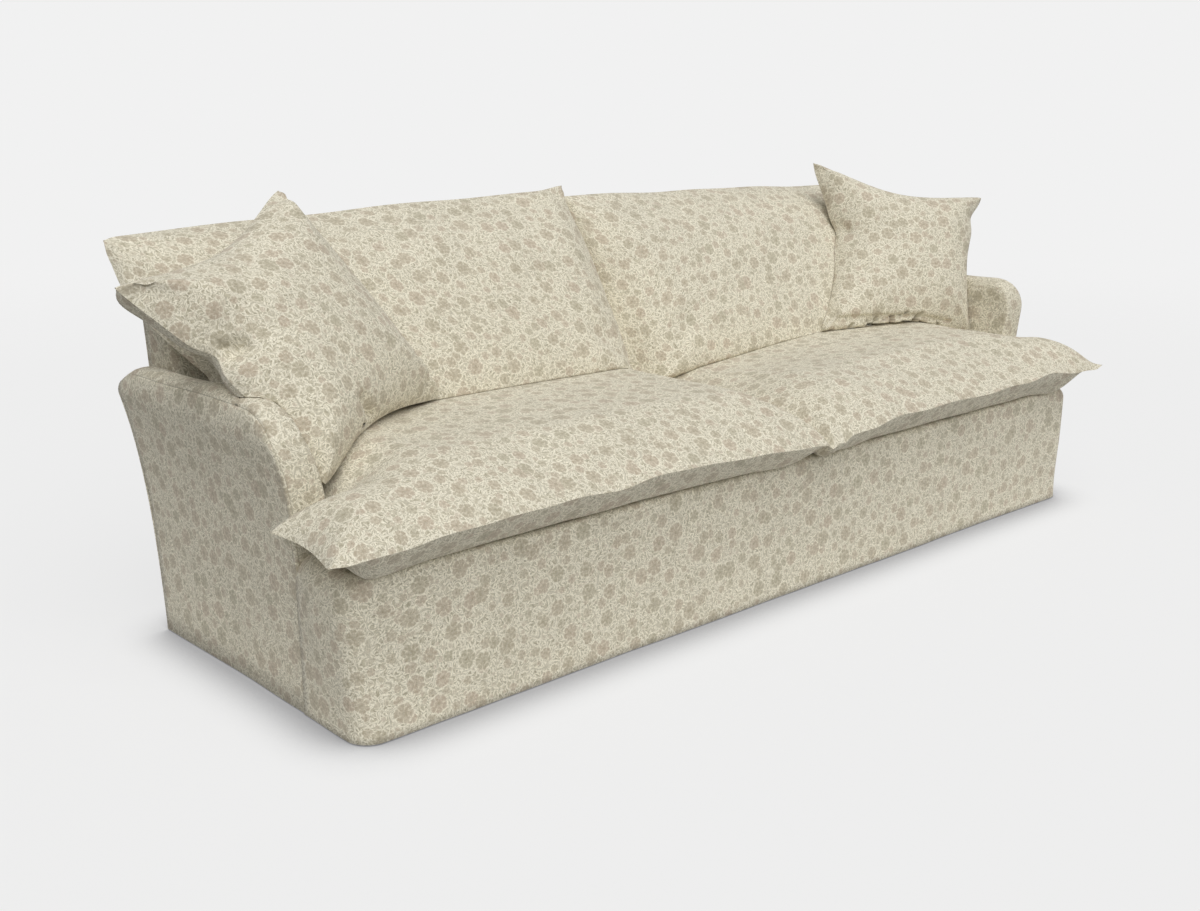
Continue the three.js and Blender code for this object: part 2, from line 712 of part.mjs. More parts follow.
function backCushion() {
  const rows = crowded(backCushionBottom, backCushionTop, 14).map((z) => {
    const share = (z - backCushionBottom) / (backCushionTop - backCushionBottom);
    return crowded(seatJoinClearance, backCushionEdgeX(z), 16).map((x) => {
      const towardsMiddle = Math.max(0, 1 - x / backCushionPeakReach) ** 2;
      const height = z + backCushionPeak * towardsMiddle * share ** 4;
      return new THREE.Vector3(x, backSeamY(z), height);
    });
  });
  return cushionGeometry(rows, (place, distance, side) => {
    const out = swell(distance, backCushionReach);
    if (side > 0) return place.clone().setY(place.y - backCushionBelly * out);
    const rear = place.y + backCushionRear * out;
    const wall = place.z < backHeight + cut ? insideBackY(place.z) - gap : Infinity;
    return place.clone().setY(Math.max(Math.min(rear, wall), place.y - backCushionBelly * out / 2));
  });
}

// A square cushion with pointed corners and drawn-in sides, facing forward.
function scatterCushion({ size, thickness }) {
  const half = size / 2;
  const stations = crowded(-1, 1, 14);
  const rows = stations.map((up) => stations.map((across) => {
    const x = half * across * (1 - scatterDrawInShare * (1 - up ** 2));
    const z = half * up * (1 - scatterDrawInShare * (1 - across ** 2));
    return new THREE.Vector3(x, 0, z);
  }));
  return cushionGeometry(rows, (place, distance, side) => {
    const out = (thickness / 2) * swell(distance, half * (1 - scatterDrawInShare));
    return place.clone().setY(-side * out);
  });
}

// A scatter cushion in its place: side is 1 at the right arm and -1 at the left.
function placedScatter(cushion, turns, side) {
  const turn = new THREE.Euler(
    THREE.MathUtils.degToRad(turns.lean),
    THREE.MathUtils.degToRad(turns.roll),
    THREE.MathUtils.degToRad(turns.yaw),
    "ZXY",
  );
  const place = new THREE.Vector3(
    side * (halfWidth - cushion.fromSide),
    insideBackY(deckHeight) - cushion.aheadOfBack,
    deckHeight + cushion.aboveDeck,
  );
  const matrix = new THREE.Matrix4().makeRotationFromEuler(turn).setPosition(place);
  return toSolid(scatterCushion(cushion).applyMatrix4(matrix));
}

function addCushions() {
  const apart = [0, -gap, gap];
  const arm = armBody(-gap, cut);
  const fixedBack = backBody(-gap, { rearOverrun: cut });
  const seat = toSolid(seatCushion());
  const back = toSolid(backCushion()).subtract(arm).subtract(fixedBack).subtract(seat.translate(apart));
  addPart("seat_cushion_right", toGeometry(seat), printedLinen);
  addPart("seat_cushion_left", toGeometry(mirrored(seat)), printedLinen);
  addPart("back_cushion_right", toGeometry(back), printedLinen);
  addPart("back_cushion_left", toGeometry(mirrored(back)), printedLinen);
  const behindRight = back.translate(apart).add(seat.translate(apart)).add(seat).add(arm);
  const right = placedScatter(scatterRight, scatterRightTurns, 1).subtract(behindRight);
  const left = placedScatter(scatterLeft, scatterLeftTurns, -1).subtract(mirrored(behindRight));
  addPart("scatter_cushion_right", toGeometry(right), printedLinen);
  addPart("scatter_cushion_left", toGeometry(left), printedLinen);
}

addBaseFrame();
addCornerBlocksAndFeet();
addArmFrame();
addBackFrame();
addSprings();
addCovers();
addCushions();

export default sofa;
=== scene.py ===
import math

import bmesh
import bpy
import numpy as np
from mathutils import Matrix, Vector
from mathutils.bvhtree import BVHTree
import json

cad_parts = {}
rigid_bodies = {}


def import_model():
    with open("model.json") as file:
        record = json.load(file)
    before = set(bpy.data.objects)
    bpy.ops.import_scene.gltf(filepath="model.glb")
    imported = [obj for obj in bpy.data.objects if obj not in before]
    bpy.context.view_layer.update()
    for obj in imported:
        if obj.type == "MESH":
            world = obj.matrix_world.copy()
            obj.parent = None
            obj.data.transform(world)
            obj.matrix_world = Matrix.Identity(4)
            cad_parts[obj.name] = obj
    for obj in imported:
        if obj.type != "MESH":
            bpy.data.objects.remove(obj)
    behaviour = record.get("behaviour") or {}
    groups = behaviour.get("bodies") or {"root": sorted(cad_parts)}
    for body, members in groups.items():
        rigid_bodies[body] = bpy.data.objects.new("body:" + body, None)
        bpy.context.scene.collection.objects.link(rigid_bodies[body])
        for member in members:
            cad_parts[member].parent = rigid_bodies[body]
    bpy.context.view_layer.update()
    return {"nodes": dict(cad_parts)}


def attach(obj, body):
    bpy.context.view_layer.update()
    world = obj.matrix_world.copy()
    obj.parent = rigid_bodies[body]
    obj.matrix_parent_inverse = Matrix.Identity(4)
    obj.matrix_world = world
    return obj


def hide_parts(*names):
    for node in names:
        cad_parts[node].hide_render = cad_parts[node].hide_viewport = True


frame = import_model()

# metres; the cushions and the cover follow the same few lines
sofa = {
    "halfWidth": 1.235,
    "halfDepth": 0.405,
    "deck": 0.335,
    "deckGap": 0.0006,
    "overhang": 0.006,  # in front of the base the seat cushions hang this far below the deck
    "armTop": 0.622,
    "armHead": 0.07,
    "armWidth": 0.08,
    "armFlare": 0.042,
    "flarePower": 3.2,
    "armFront": -0.21,
    "backTop": 0.775,
    "backSide": 1.2,
    "backThickness": 0.12,
    "backEdge": 0.024,  # radius
    "outsideRake": 0.08,
    "insideRake": 0.104,
    "rearLap": 0.0045,  # arm and top end this far inside the outside back
    "hem": 0.003,
    "cloth": 0.003,
}


def outsideBackY(z):
    return sofa["halfDepth"] + sofa["outsideRake"] * z / sofa["backTop"]


def insideBackY(z):
    rise = (z - sofa["deck"]) / (sofa["backTop"] - sofa["deck"])
    return sofa["halfDepth"] - sofa["backThickness"] + sofa["insideRake"] * rise


def armOuterX(z):
    head = sofa["armTop"] - sofa["armHead"]
    share = np.clip(np.asarray(z, float) / head, 0, 1)
    return sofa["halfWidth"] + sofa["armFlare"] * share ** sofa["flarePower"]


def ease(t):
    t = np.clip(t, 0, 1)
    return t * t * (3 - 2 * t)


def mix(a, b, t):
    return a + (b - a) * t


# a soft hump of height 1 at a distance of 0
def hump(distance, width):
    return np.exp(-(distance / width) ** 2)


# a smooth unevenness between about -1 and 1, the same on every run
def unevenness(points, pitch, seed):
    dice, waves = np.random.RandomState(seed), 8
    total = np.zeros(points.shape[:-1])
    for _ in range(waves):
        way = dice.normal(size=3)
        way /= np.linalg.norm(way)
        turns = 2 * math.pi / pitch * dice.uniform(0.55, 1.5)
        total += np.sin(points @ way * turns + dice.uniform(0, 2 * math.pi))
    return total / waves ** 0.5


# stations between two ends, crowded towards both
def crowded(start, end, count, pull):
    even = np.linspace(0, 1, count + 1)
    share = mix(even, (1 - np.cos(math.pi * even)) / 2, pull)
    return start + (end - start) * share


# places from their coordinates
def grid(*parts):
    return np.stack(np.broadcast_arrays(*parts), -1)


# how far along its columns (axis 0) or rows (axis 1) each place of a grid lies
def arcLengths(points, axis):
    first = np.take(points, [0], axis)
    steps = np.linalg.norm(np.diff(points, axis=axis, prepend=first), axis=-1)
    return np.cumsum(steps, axis=axis)


# sewing panels into one mesh


# a panel is a grid of places, with its place on the cloth, how deep a seam lies in it, which face
# of a cushion it is and, where it was cut to another shape, its place when it was flat
def panel(points, cloth, seam=None, label=0, cut=None):
    points = np.asarray(points, float)
    return {
        "points": points,
        "cloth": np.asarray(cloth, float),
        "seam": np.zeros(points.shape[:2]) if seam is None else seam,
        "label": label,
        "cut": points if cut is None else cut,
    }


# panels are drawn for the right side; the left has their mirror image
def onSide(side, panels):
    if side > 0:
        return panels
    return [
        panel(one["points"][:, ::-1] * [-1, 1, 1], one["cloth"][:, ::-1] * [-1, 1],
              one["seam"][:, ::-1], one["label"])
        for one in panels
    ]


def sewPanels(name, panels, inside, closed=False):
    quads, labels, start = [], [], 0
    for one in panels:
        rows, columns = one["points"].shape[:2]
        index = np.arange(rows * columns).reshape(rows, columns) + start
        corners = [index[:-1, :-1], index[:-1, 1:], index[1:, 1:], index[1:, :-1]]
        quads.append(np.stack(corners, -1).reshape(-1, 4))
        labels.append(np.full(len(quads[-1]), one["label"]))
        start += rows * columns
    quads, labels = np.concatenate(quads), np.concatenate(labels)
    points, cloth, seams, cuts = (
        np.concatenate([one[key].reshape(-1, width) for one in panels])
        for key, width in (("points", 3), ("cloth", 2), ("seam", 1), ("cut", 3))
    )
    mesh = bpy.data.meshes.new(name)
    mesh.from_pydata(points.tolist(), [], quads.tolist())
    mesh.uv_layers.new(name="cloth").data.foreach_set("uv", cloth[quads.ravel()].ravel())
    mesh.attributes.new("seam", "FLOAT", "POINT").data.foreach_set("value", seams.ravel())
    mesh.attributes.new("label", "INT", "FACE").data.foreach_set("value", labels)
    cut = mesh.attributes.new("cut", "FLOAT_VECTOR", "POINT")
    cut.data.foreach_set("vector", cuts.astype(np.float32).ravel())
    sewn = bmesh.new()
    sewn.from_mesh(mesh)
    bmesh.ops.remove_doubles(sewn, verts=sewn.verts, dist=2e-5)
    bmesh.ops.dissolve_degenerate(sewn, edges=sewn.edges, dist=1e-6)
    bmesh.ops.recalc_face_normals(sewn, faces=sewn.faces)
    middle = Vector(inside)
    outward = sum(
        (f.calc_center_median() - middle).dot(f.normal) * f.calc_area() for f in sewn.faces
    )
    if outward < 0:
        bmesh.ops.reverse_faces(sewn, faces=sewn.faces)
    if closed:
        label = sewn.faces.layers.int["label"]
        crease = sewn.edges.layers.float.new("crease_edge")
        for edge in sewn.edges:
            if len({f[label] for f in edge.link_faces}) > 1:
                edge[crease] = 1
                edge.smooth = False
    for face in sewn.faces:
        face.smooth = True
    sewn.to_mesh(mesh)
    sewn.free()
    obj = bpy.data.objects.new(name, mesh)
    bpy.context.scene.collection.objects.link(obj)
    return obj


def readRows(collection, key, width):
    out = np.zeros(len(collection) * width, np.float32)
    collection.foreach_get(key, out)
    return out.reshape(-1, width).astype(float)


def places(obj):
    return readRows(obj.data.vertices, "co", 3)


def normals(obj):
    return readRows(obj.data.vertex_normals, "vector", 3)


def seamDepth(obj):
    return readRows(obj.data.attributes["seam"].data, "value", 1)


def setPlaces(obj, points):
    obj.data.vertices.foreach_set("co", points.astype(np.float32).ravel())
    obj.data.update()


def applyAll(obj):
    bpy.ops.object.select_all(action="DESELECT")
    bpy.context.view_layer.objects.active = obj
    obj.select_set(True)
    for modifier in list(obj.modifiers):
        bpy.ops.object.modifier_apply(modifier=modifier.name)


def wall(obj, thickness):
    solid = obj.modifiers.new("wall", "SOLIDIFY")
    solid.thickness = thickness
    solid.offset = -1
    applyAll(obj)


def subdivide(obj):
    modifier = obj.modifiers.new("finer", "SUBSURF")
    modifier.levels = modifier.render_levels = 1
    applyAll(obj)


def skinOf(obj):
    faces = [tuple(p.vertices) for p in obj.data.polygons]
    return BVHTree.FromPolygons([v.co for v in obj.data.vertices], faces)


# whatever lies inside a neighbour goes back to its surface
def keepClear(obj, neighbours, gap):
    points, reach = places(obj), 0.2
    for skin in neighbours:
        for i, co in enumerate(points):
            spot, way, _, _ = skin.find_nearest(Vector(co), reach)
            if spot is not None and (Vector(co) - spot).dot(way) < gap:
                points[i] = spot + way * gap
    setPlaces(obj, points)


# air from inside for a few frames, with the seams or only the corners held
def fillWithFeathers(obj, stand, fill):
    before = places(obj)
    held = {v for e in obj.data.edges if e.use_edge_sharp for v in e.vertices}
    if "corners" in fill:
        corners = np.array(fill["corners"])
        held = {
            v for v in held
            if np.min(np.linalg.norm(corners - before[v], axis=1)) < fill["hold"]
        }
    obj.vertex_groups.new(name="held").add(sorted(held), 1, "REPLACE")
    cloth = obj.modifiers.new("feathers", "CLOTH")
    settings = cloth.settings
    settings.quality = 5
    settings.mass = 0.3
    settings.tension_stiffness = fill["stiffness"]
    settings.compression_stiffness = fill["stiffness"]
    settings.shear_stiffness = fill["stiffness"] / 3
    settings.bending_stiffness = fill["bending"]
    settings.use_pressure = True
    settings.uniform_pressure_force = fill["pressure"]
    settings.effector_weights.gravity = 0
    settings.vertex_group_mass = "held"
    if "corners" in fill:  # the cloth wants the size that it was cut to
        flat = readRows(obj.data.attributes["cut"].data, "vector", 3)
        obj.shape_key_add(name="Basis")
        cutKey = obj.shape_key_add(name="cut")
        cutKey.data.foreach_set("co", flat.astype(np.float32).ravel())
        settings.rest_shape_key = cutKey
    cloth.point_cache.frame_start = 1
    cloth.point_cache.frame_end = fill["frames"]
    scene = bpy.context.scene
    for number in range(1, fill["frames"] + 1):
        scene.frame_set(number)
    found = obj.evaluated_get(bpy.context.evaluated_depsgraph_get())
    move = readRows(found.data.vertices, "co", 3) - before
    far = np.linalg.norm(move, axis=1, keepdims=True)
    move *= np.minimum(1, fill["cap"] / np.maximum(far, 1e-9))
    obj.modifiers.remove(cloth)
    if obj.data.shape_keys:
        obj.shape_key_clear()
    obj.vertex_groups.clear()
    scene.frame_set(1)
    setPlaces(obj, stand(before + move))


# cushions: two faces that meet in a knife edge


# each seam line has a weight: over 1, the cushion is full sooner beside it
def awayFromSeams(points, seams):
    flat = points.reshape(-1, 3)
    total = np.zeros(len(flat))
    power, least = 7, 1e-5
    for line, weight in seams:
        closest = np.full(len(flat), 1e9)
        for a, b in zip(line[:-1], line[1:]):
            run = b - a
            share = np.clip((flat - a) @ run / max(run @ run, 1e-12), 0, 1)
            far = weight * np.linalg.norm(flat - a - share[:, None] * run, axis=1)
            closest = np.minimum(closest, far)
        total += np.maximum(closest, least) ** -power
    # a smooth least: no ridge where two seams are equally near
    return np.maximum(total ** (-1 / power) - least, 0).reshape(points.shape[:-1])


# place on the cloth, from one row and one column that lie straight
def onCloth(points, row, column):
    across, up = arcLengths(points, 1), arcLengths(points, 0)
    return grid(across - across[:, column:column + 1], up - up[row:row + 1])


# share of full thickness at a distance from the seam
def swell(distance, reach, power=0.75):
    t = np.clip(distance / reach, 0, 1)
    return (1 - (1 - t) ** 2) ** power


cushionFill = {"pressure": 3.0, "cap": 0.012, "frames": 20, "stiffness": 8, "bending": 0.8}
scatterFill = {
    "pressure": 6.0, "cap": 0.035, "frames": 22, "stiffness": 14, "bending": 0.5, "hold": 0.03,
}

# right is 1, left is -1
seatCushion = {
    "innerX": 0.0015,
    "bodyX": 1.163,
    "earX": 1.314,
    "front": -0.483,
    "earRear": -0.250,
    "notch": -0.224,
    "back": 0.276,
    "seamHeight": 0.408,
    "crown": 0.089,
    "crownReach": 0.205,
    "undersideReach": 0.078,
    "earUnderside": 0.007,
    "underTo": {1: 1.140, -1: 1.222},  # up to here the underside hangs down to the deck
    "underEnd": 0.060,
    "tipPinch": (0.6, 0.055),  # share, reach
    "tipOut": {1: -0.030, -1: 0.018},  # the front tips stand further in or out than the ears
    "tipRadius": 0.022,
    "tipRise": (0.013, 0.003),  # front, rear
    "tipReach": 0.004,
    "cornerDip": 0.020,
    "earLift": {1: 0.011, -1: 0.0},
    "middleDip": 0.033,
    "joinShift": 0.032,  # the left cushion's front corner lies this far over the middle
    "joinNotch": (0.80, 0.027),  # the undersides round off at the front beside the join
    "kink": {1: 0.008, -1: 0.0},  # where the right cushion's corner is squashed
    "kinkAt": (0.062, 0.011),  # distance from the join, width
    "bow": 0.010,
    "wave": (0.0042, 0.22),  # height, pitch
    "waist": 0.013,
    "flatterMiddle": {1: (0.56, 0.48), -1: (0.08, 0.32)},  # lower beside the join: share, reach
    "joinWeight": {1: 1.15, -1: 2.4},
    "rearWeight": 1.35,
    "printFrom": {1: (0.31, 0.12), -1: (2.13, 0.47)},
    "backPrint": 1.4,  # the underside is cut this much further along the cloth
}


# the seam's own plane, and how far it leans over the middle
def seatRim(x, y, side):
    s = seatCushion
    frontShare = np.clip(1 - (y - s["front"]) / (s["back"] - s["front"]), 0, 1) ** 6
    across = np.clip(x / s["earX"], 0, 1)
    bow = s["bow"] * np.sin(math.pi * across) * frontShare
    onEar = np.clip((x - s["bodyX"]) / (s["earX"] - s["bodyX"]), 0, 1)
    rearLine = mix(s["notch"], s["earRear"], onEar)
    earShare = np.clip((y - s["front"]) / (rearLine - s["front"]), 0, 1)
    waist = s["waist"] * np.sin(math.pi * earShare) * onEar
    waist -= s["tipOut"][side] * onEar * (1 - earShare) ** 2
    shift = s["joinShift"] * side * ease((-0.33 - y) / 0.14) * np.exp(-x / 0.16)
    place = grid(x, y, 0)
    waveHeight, wavePitch = s["wave"]
    wave = waveHeight * unevenness(place, wavePitch, 11 + side) * frontShare
    dip = s["cornerDip"] * across ** 7 + s["middleDip"] * (1 - across) ** 9
    frontTip, rearTip = (
        np.exp(-((x - s["earX"]) ** 2 + (y - s[edge]) ** 2) / s["tipRadius"] ** 2)
        for edge in ("front", "earRear")
    )
    frontRise, rearRise = s["tipRise"]
    lift = s["earLift"][side] * across ** 4
    height = s["seamHeight"] + lift - dip * frontShare + wave
    height = height + frontRise * frontTip + rearRise * rearTip
    kinkAt, kinkWidth = s["kinkAt"]
    kink = s["kink"][side] * hump(x - kinkAt, kinkWidth) * frontShare
    rim = grid(
        x - waist + shift + s["tipReach"] * frontTip + s["tipReach"] * rearTip,
        y + bow + 0.5 * wave - 0.5 * kink,
        height - kink,
    )
    return rim, shift


def seatPanels(side):
    s = seatCushion
    mainX = crowded(s["innerX"], s["bodyX"], 58, 0.55)
    earX = crowded(s["bodyX"], s["earX"], 10, 0.5)
    frontY = crowded(s["front"], s["notch"], 16, 0.6)
    bodyY = crowded(s["notch"], s["back"], 28, 0.55)
    blocks = [np.meshgrid(mainX, np.concatenate([frontY, bodyY[1:]]))]
    x, y = np.meshgrid(earX, frontY)
    onEar = (x - s["bodyX"]) / (s["earX"] - s["bodyX"])
    share = (y - s["front"]) / (s["notch"] - s["front"])
    rearLine = mix(s["notch"], s["earRear"], onEar)
    blocks.append((x, s["front"] + share * (rearLine - s["front"])))
    rims = [seatRim(x, y, side) for x, y in blocks]
    main, ear = rims[0][0], rims[1][0]
    seams = [
        (np.concatenate([main[0], ear[0, 1:]]), 1.0),
        (ear[:, -1], 1.0),
        (ear[-1], s["rearWeight"]),
        (main[len(frontY) - 1:, -1], s["rearWeight"]),
        (main[-1], 1.0),
        (main[:, 0], s["joinWeight"][side]),
    ]
    lower, over = s["flatterMiddle"][side]
    pinch, pinchReach = s["tipPinch"]
    notchShare, notchWidth = s["joinNotch"]
    panels = []
    for face in (1, -1):
        start = np.array(s["printFrom"][side]) + (0, 0 if face > 0 else s["backPrint"])
        for (x, y), (rim, shift) in zip(blocks, rims):
            far = awayFromSeams(rim, seams)
            thin = 1 - pinch * hump(np.linalg.norm(rim - ear[0, -1], axis=-1), pinchReach)
            points = rim.copy()
            if face > 0:
                rear = ease((y + 0.35) / 0.4)
                crown = s["crown"] * (1 - lower * hump(x, over) * rear)
                points[..., 2] += crown * swell(far, s["crownReach"]) * thin
            else:
                onBase = 1 - ease((rim[..., 0] - s["underTo"][side]) / s["underEnd"])
                drop = rim[..., 2] - sofa["deck"] - sofa["deckGap"]
                drop = drop + sofa["overhang"] * (y < -0.40)
                notch = notchShare * hump(x, notchWidth) * ease((-0.36 - y) / 0.06)
                full = swell(far, s["undersideReach"]) * thin * (1 - notch)
                points[..., 2] -= mix(s["earUnderside"], drop, onBase) * full
                points[..., 0] -= shift * full
            if rim is main:
                cloth = onCloth(points, 8, 29) + start
                beside = cloth[:len(frontY), -1:, 0]
            else:
                cloth = onCloth(points, 8, 0) + start
                cloth[..., 0] += beside - start[0]
            panels.append(panel(points, cloth, label=face))
    return panels


def standOnDeck(points):
    inFront = points[:, 1] > -0.402
    onBase = inFront & (np.abs(points[:, 0]) < sofa["halfWidth"] - 0.02)
    least = np.where(onBase, sofa["deck"] + sofa["deckGap"], sofa["deck"] - sofa["overhang"])
    points[:, 2] = np.maximum(points[:, 2], least)
    return points


backCushion = {
    "innerX": 0.0012,
    "bottom": 0.470,
    "edgeTop": {1: 0.882, -1: 0.886},
    "rise": {1: 0.026, -1: 0.037},  # how much higher the top is at the middle
    "peak": {1: 0.0, -1: 0.013},
    "overArm": 0.610,
    "topX": 1.288,
    "sideBulge": 0.016,
    "belly": 0.110,
    "footBelly": 0.106,
    "rear": 0.088,
    "rearLow": 0.140,
    "reach": 0.185,
    "lean": (0.150, 0.059, 1.2),  # before the back at the foot, over its top, hollowness
    "footWeight": 3.6,
    "joinWeight": 1.7,
    "endWeight": {1: 1.7, -1: 1.0},
    "footDip": {1: 0.026, -1: 0.0},  # hangs lower beside the join
    "sunk": 0.030,  # into the seat cushion, which then pushes it back
    "wave": (0.0022, 0.26),
    "crease": (0.0035, 0.027, 0.008),  # depth, distance below the top seam, width
    "printFrom": {1: (0.77, 3.05), -1: (3.42, 3.31)},
    "backPrint": 1.1,
}


def backSeamY(z):
    b = backCushion
    before, past, power = b["lean"]
    share = np.clip((z - b["bottom"]) / 0.416, 0, 1)
    foot = insideBackY(b["bottom"]) - before
    head = insideBackY(sofa["backTop"]) + past
    return mix(foot, head, share ** power)


def backRim(across, high, side):
    b = backCushion
    bottom, edgeTop = b["bottom"], b["edgeTop"][side]
    between = float(armOuterX(bottom)) - sofa["armWidth"] - 0.010
    flatTop = mix(bottom, edgeTop, high)
    over = np.clip((flatTop - b["overArm"]) / (edgeTop - b["overArm"]), 0, 1)
    edge = mix(between, b["topX"], np.sin(over * math.pi / 2) ** 0.8)
    edge = edge + b["sideBulge"] * np.sin(over * math.pi) ** 2
    x = b["innerX"] + (edge - b["innerX"]) * across
    outward = np.clip(x / 1.29, 0, 1)
    rise = b["rise"][side] * (1 - outward ** 1.6) * high ** 2
    rise = rise + b["peak"][side] * hump(x, 0.055) * high ** 12
    place = grid(x, flatTop, 0)
    waveHeight, wavePitch = b["wave"]
    wave = waveHeight * unevenness(place, wavePitch, 23 + side) * high ** 8
    corner = np.exp(-((x - b["topX"]) ** 2 + (flatTop - edgeTop) ** 2) / 0.014 ** 2)
    dip = (b["footDip"][side] * hump(x, 0.30) + b["sunk"]) * (1 - high) ** 4
    z = flatTop + rise + wave - 0.005 * corner - dip
    return grid(x - 0.003 * corner, backSeamY(flatTop + rise), z)


def backPanels(side):
    b = backCushion
    across, high = np.meshgrid(crowded(0, 1, 64, 0.55), crowded(0, 1, 32, 0.6))
    rim = backRim(across, high, side)
    z = rim[..., 2]
    seams = [
        (rim[0], b["footWeight"]), (rim[:, -1], b["endWeight"][side]),
        (rim[-1], 1.0), (rim[:, 0], b["joinWeight"]),
    ]
    full = swell(awayFromSeams(rim, seams), b["reach"])
    aboveFoot = ease((z - b["bottom"]) / 0.15)
    depth, below, width = b["crease"]
    panels = []
    for face in (1, -1):
        points = rim.copy()
        if face > 0:
            crease = depth * hump(rim[-1, :, 2][None] - z - below, width)
            points[..., 1] -= mix(b["footBelly"], b["belly"], aboveFoot) * full - crease
        else:
            rear = rim[..., 1] + mix(b["rearLow"], b["rear"], aboveFoot) * full
            inside = np.where(z < sofa["backTop"] + 0.03, insideBackY(z) - 0.001, 9)
            least = rim[..., 1] - 0.4 * b["belly"] * full
            points[..., 1] = np.maximum(np.minimum(rear, inside), least)
        start = b["printFrom"][side]
        cloth = onCloth(points, 16, 32) + start + (0, 0 if face > 0 else b["backPrint"])
        panels.append(panel(points, cloth, label=face))
    return panels


def standAtBack(points):
    z = points[:, 2]
    inside = np.where(z < sofa["backTop"] + 0.004, insideBackY(z) - 0.001, 9)
    points[:, 1] = np.minimum(points[:, 1], inside)
    return points


# corners as seen from the front: bottom left, bottom right, top right, top left
# a fold runs between two places on the face, 0 to 1 across and up, with its depth and width
scatterLeft = {
    "corners": [
        (-1.163, -0.200, 0.461), (-0.692, 0.078, 0.516), (-0.946, 0.300, 0.978),
        (-1.424, 0.080, 0.834),
    ],
    "thickness": 0.196,
    "drawIn": (0.055, 0.014, 0.065, 0.030),  # bottom, right, top, left
    "folds": [
        ((-0.02, 0.60), (0.09, 0.575), 0.024, 0.015), ((0.02, 0.66), (0.30, 0.73), 0.007, 0.035),
        ((0.45, -0.02), (0.40, 0.12), 0.020, 0.016), ((0.0, 0.90), (0.08, 1.0), 0.008, 0.014),
        ((0.90, 1.0), (1.0, 0.91), 0.007, 0.012), ((0.86, 0.02), (0.98, 0.12), 0.006, 0.012),
    ],
    "fatCorner": (3, 0.085),  # number, reach
    "leftEdgeBack": (0, 0, 0),
    "pinches": [(0, 0.60, 0.05, 0.028)],  # edge (left 0, right 1), height, width, depth
    "cut": 1.035,
    "printFrom": (5.2, 0.3),
    "seed": 41,
}
scatterRight = {
    "corners": [
        (0.672, 0.082, 0.494), (1.160, -0.110, 0.480), (1.350, 0.000, 0.860),
        (0.930, 0.335, 0.9705),
    ],
    "thickness": 0.180,
    "drawIn": (0.020, 0.045, 0.085, 0.085),
    "folds": [
        ((-0.02, 0.57), (0.07, 0.585), 0.013, 0.014), ((0.08, 0.055), (0.62, 0.050), 0.011, 0.009),
        ((0.62, 0.050), (0.85, 0.02), 0.010, 0.009), ((0.0, 0.90), (0.09, 1.0), 0.008, 0.014),
        ((0.91, 1.0), (1.0, 0.88), 0.008, 0.013), ((0.0, 0.13), (0.09, 0.02), 0.006, 0.014),
        ((0.22, 0.30), (0.02, 0.42), 0.006, 0.030),
    ],
    "fatCorner": (0, 0.060),
    "leftEdgeBack": (0.039, 0.031, -0.002),  # its upper half leans on the back cushion
    "pinches": [(0, 0.57, 0.06, 0.016), (1, 0.84, 0.09, 0.020)],
    "cut": 1.03,
    "printFrom": (6.3, 1.2),
    "seed": 57,
}


def scatterPanels(spec):
    bl, br, tr, tl = (np.array(c) for c in spec["corners"])
    even = crowded(0, 1, 48, 0.35)
    s, t = np.meshgrid(even, even)
    place = (bl * ((1 - s) * (1 - t))[..., None] + br * (s * (1 - t))[..., None]
             + tr * (s * t)[..., None] + tl * ((1 - s) * t)[..., None])
    wide, high = (br + tr - bl - tl) / 2, (tl + tr - bl - br) / 2
    width, height = np.linalg.norm(wide), np.linalg.norm(high)
    facing = np.cross(wide, high)
    facing /= np.linalg.norm(facing)
    drawBottom, drawRight, drawTop, drawLeft = spec["drawIn"]
    alongX, alongY = (4 * s * (1 - s)) ** 1.5, (4 * t * (1 - t)) ** 1.5
    pinch = np.zeros_like(s)
    for edge, at, spread, deep in spec["pinches"]:
        pinch += (1 - 2 * edge) * deep * hump(t - at, spread) * np.exp(-np.abs(s - edge) / 0.12)
    drawUp = drawBottom * alongX * (1 - t) - drawTop * alongX * t
    drawIn = drawLeft * alongY * (1 - s) - drawRight * alongY * s + pinch / width
    place = place + high * drawUp[..., None]
    place = place + wide * drawIn[..., None]
    place = place + facing * (0.004 * unevenness(place, 0.3, spec["seed"]))[..., None]
    bend = np.sin(math.pi * t ** 1.5) * (1 - s) ** 2
    place = place + np.array(spec["leftEdgeBack"]) * bend[..., None]
    edges = (place[0], place[:, -1], place[-1], place[:, 0])
    far = awayFromSeams(place, [(line, 1.0) for line in edges])
    size = np.array([width, height]) * spec["cut"]
    flat = grid(s * size[0], t * size[1], 0)
    fold = np.zeros_like(s)
    for start, end, deep, spread in spec["folds"]:
        line = np.array([[*(start * size), 0], [*(end * size), 0]])
        fold += deep * hump(awayFromSeams(flat, [(line, 1.0)]), spread)
    fold *= ease(far / 0.014)
    fat, spread = spec["fatCorner"]
    toFat = np.linalg.norm(place - (bl, br, tr, tl)[fat], axis=-1)
    reach = size[0] * 0.44 * (1 - 0.55 * hump(toFat, spread))
    panels = []
    for face in (1, -1):
        out = spec["thickness"] / 2 * swell(far, reach, 0.62)
        points = place + facing * (face * out)[..., None]
        cloth = onCloth(points, 24, 24) * (face, 1)
        cloth = cloth + spec["printFrom"] + (0, 0 if face > 0 else 0.8)
        panels.append(panel(points, cloth, fold if face > 0 else 0 * fold, face, flat))
    return panels


def stayPut(points):
    return points


# the fitted cover

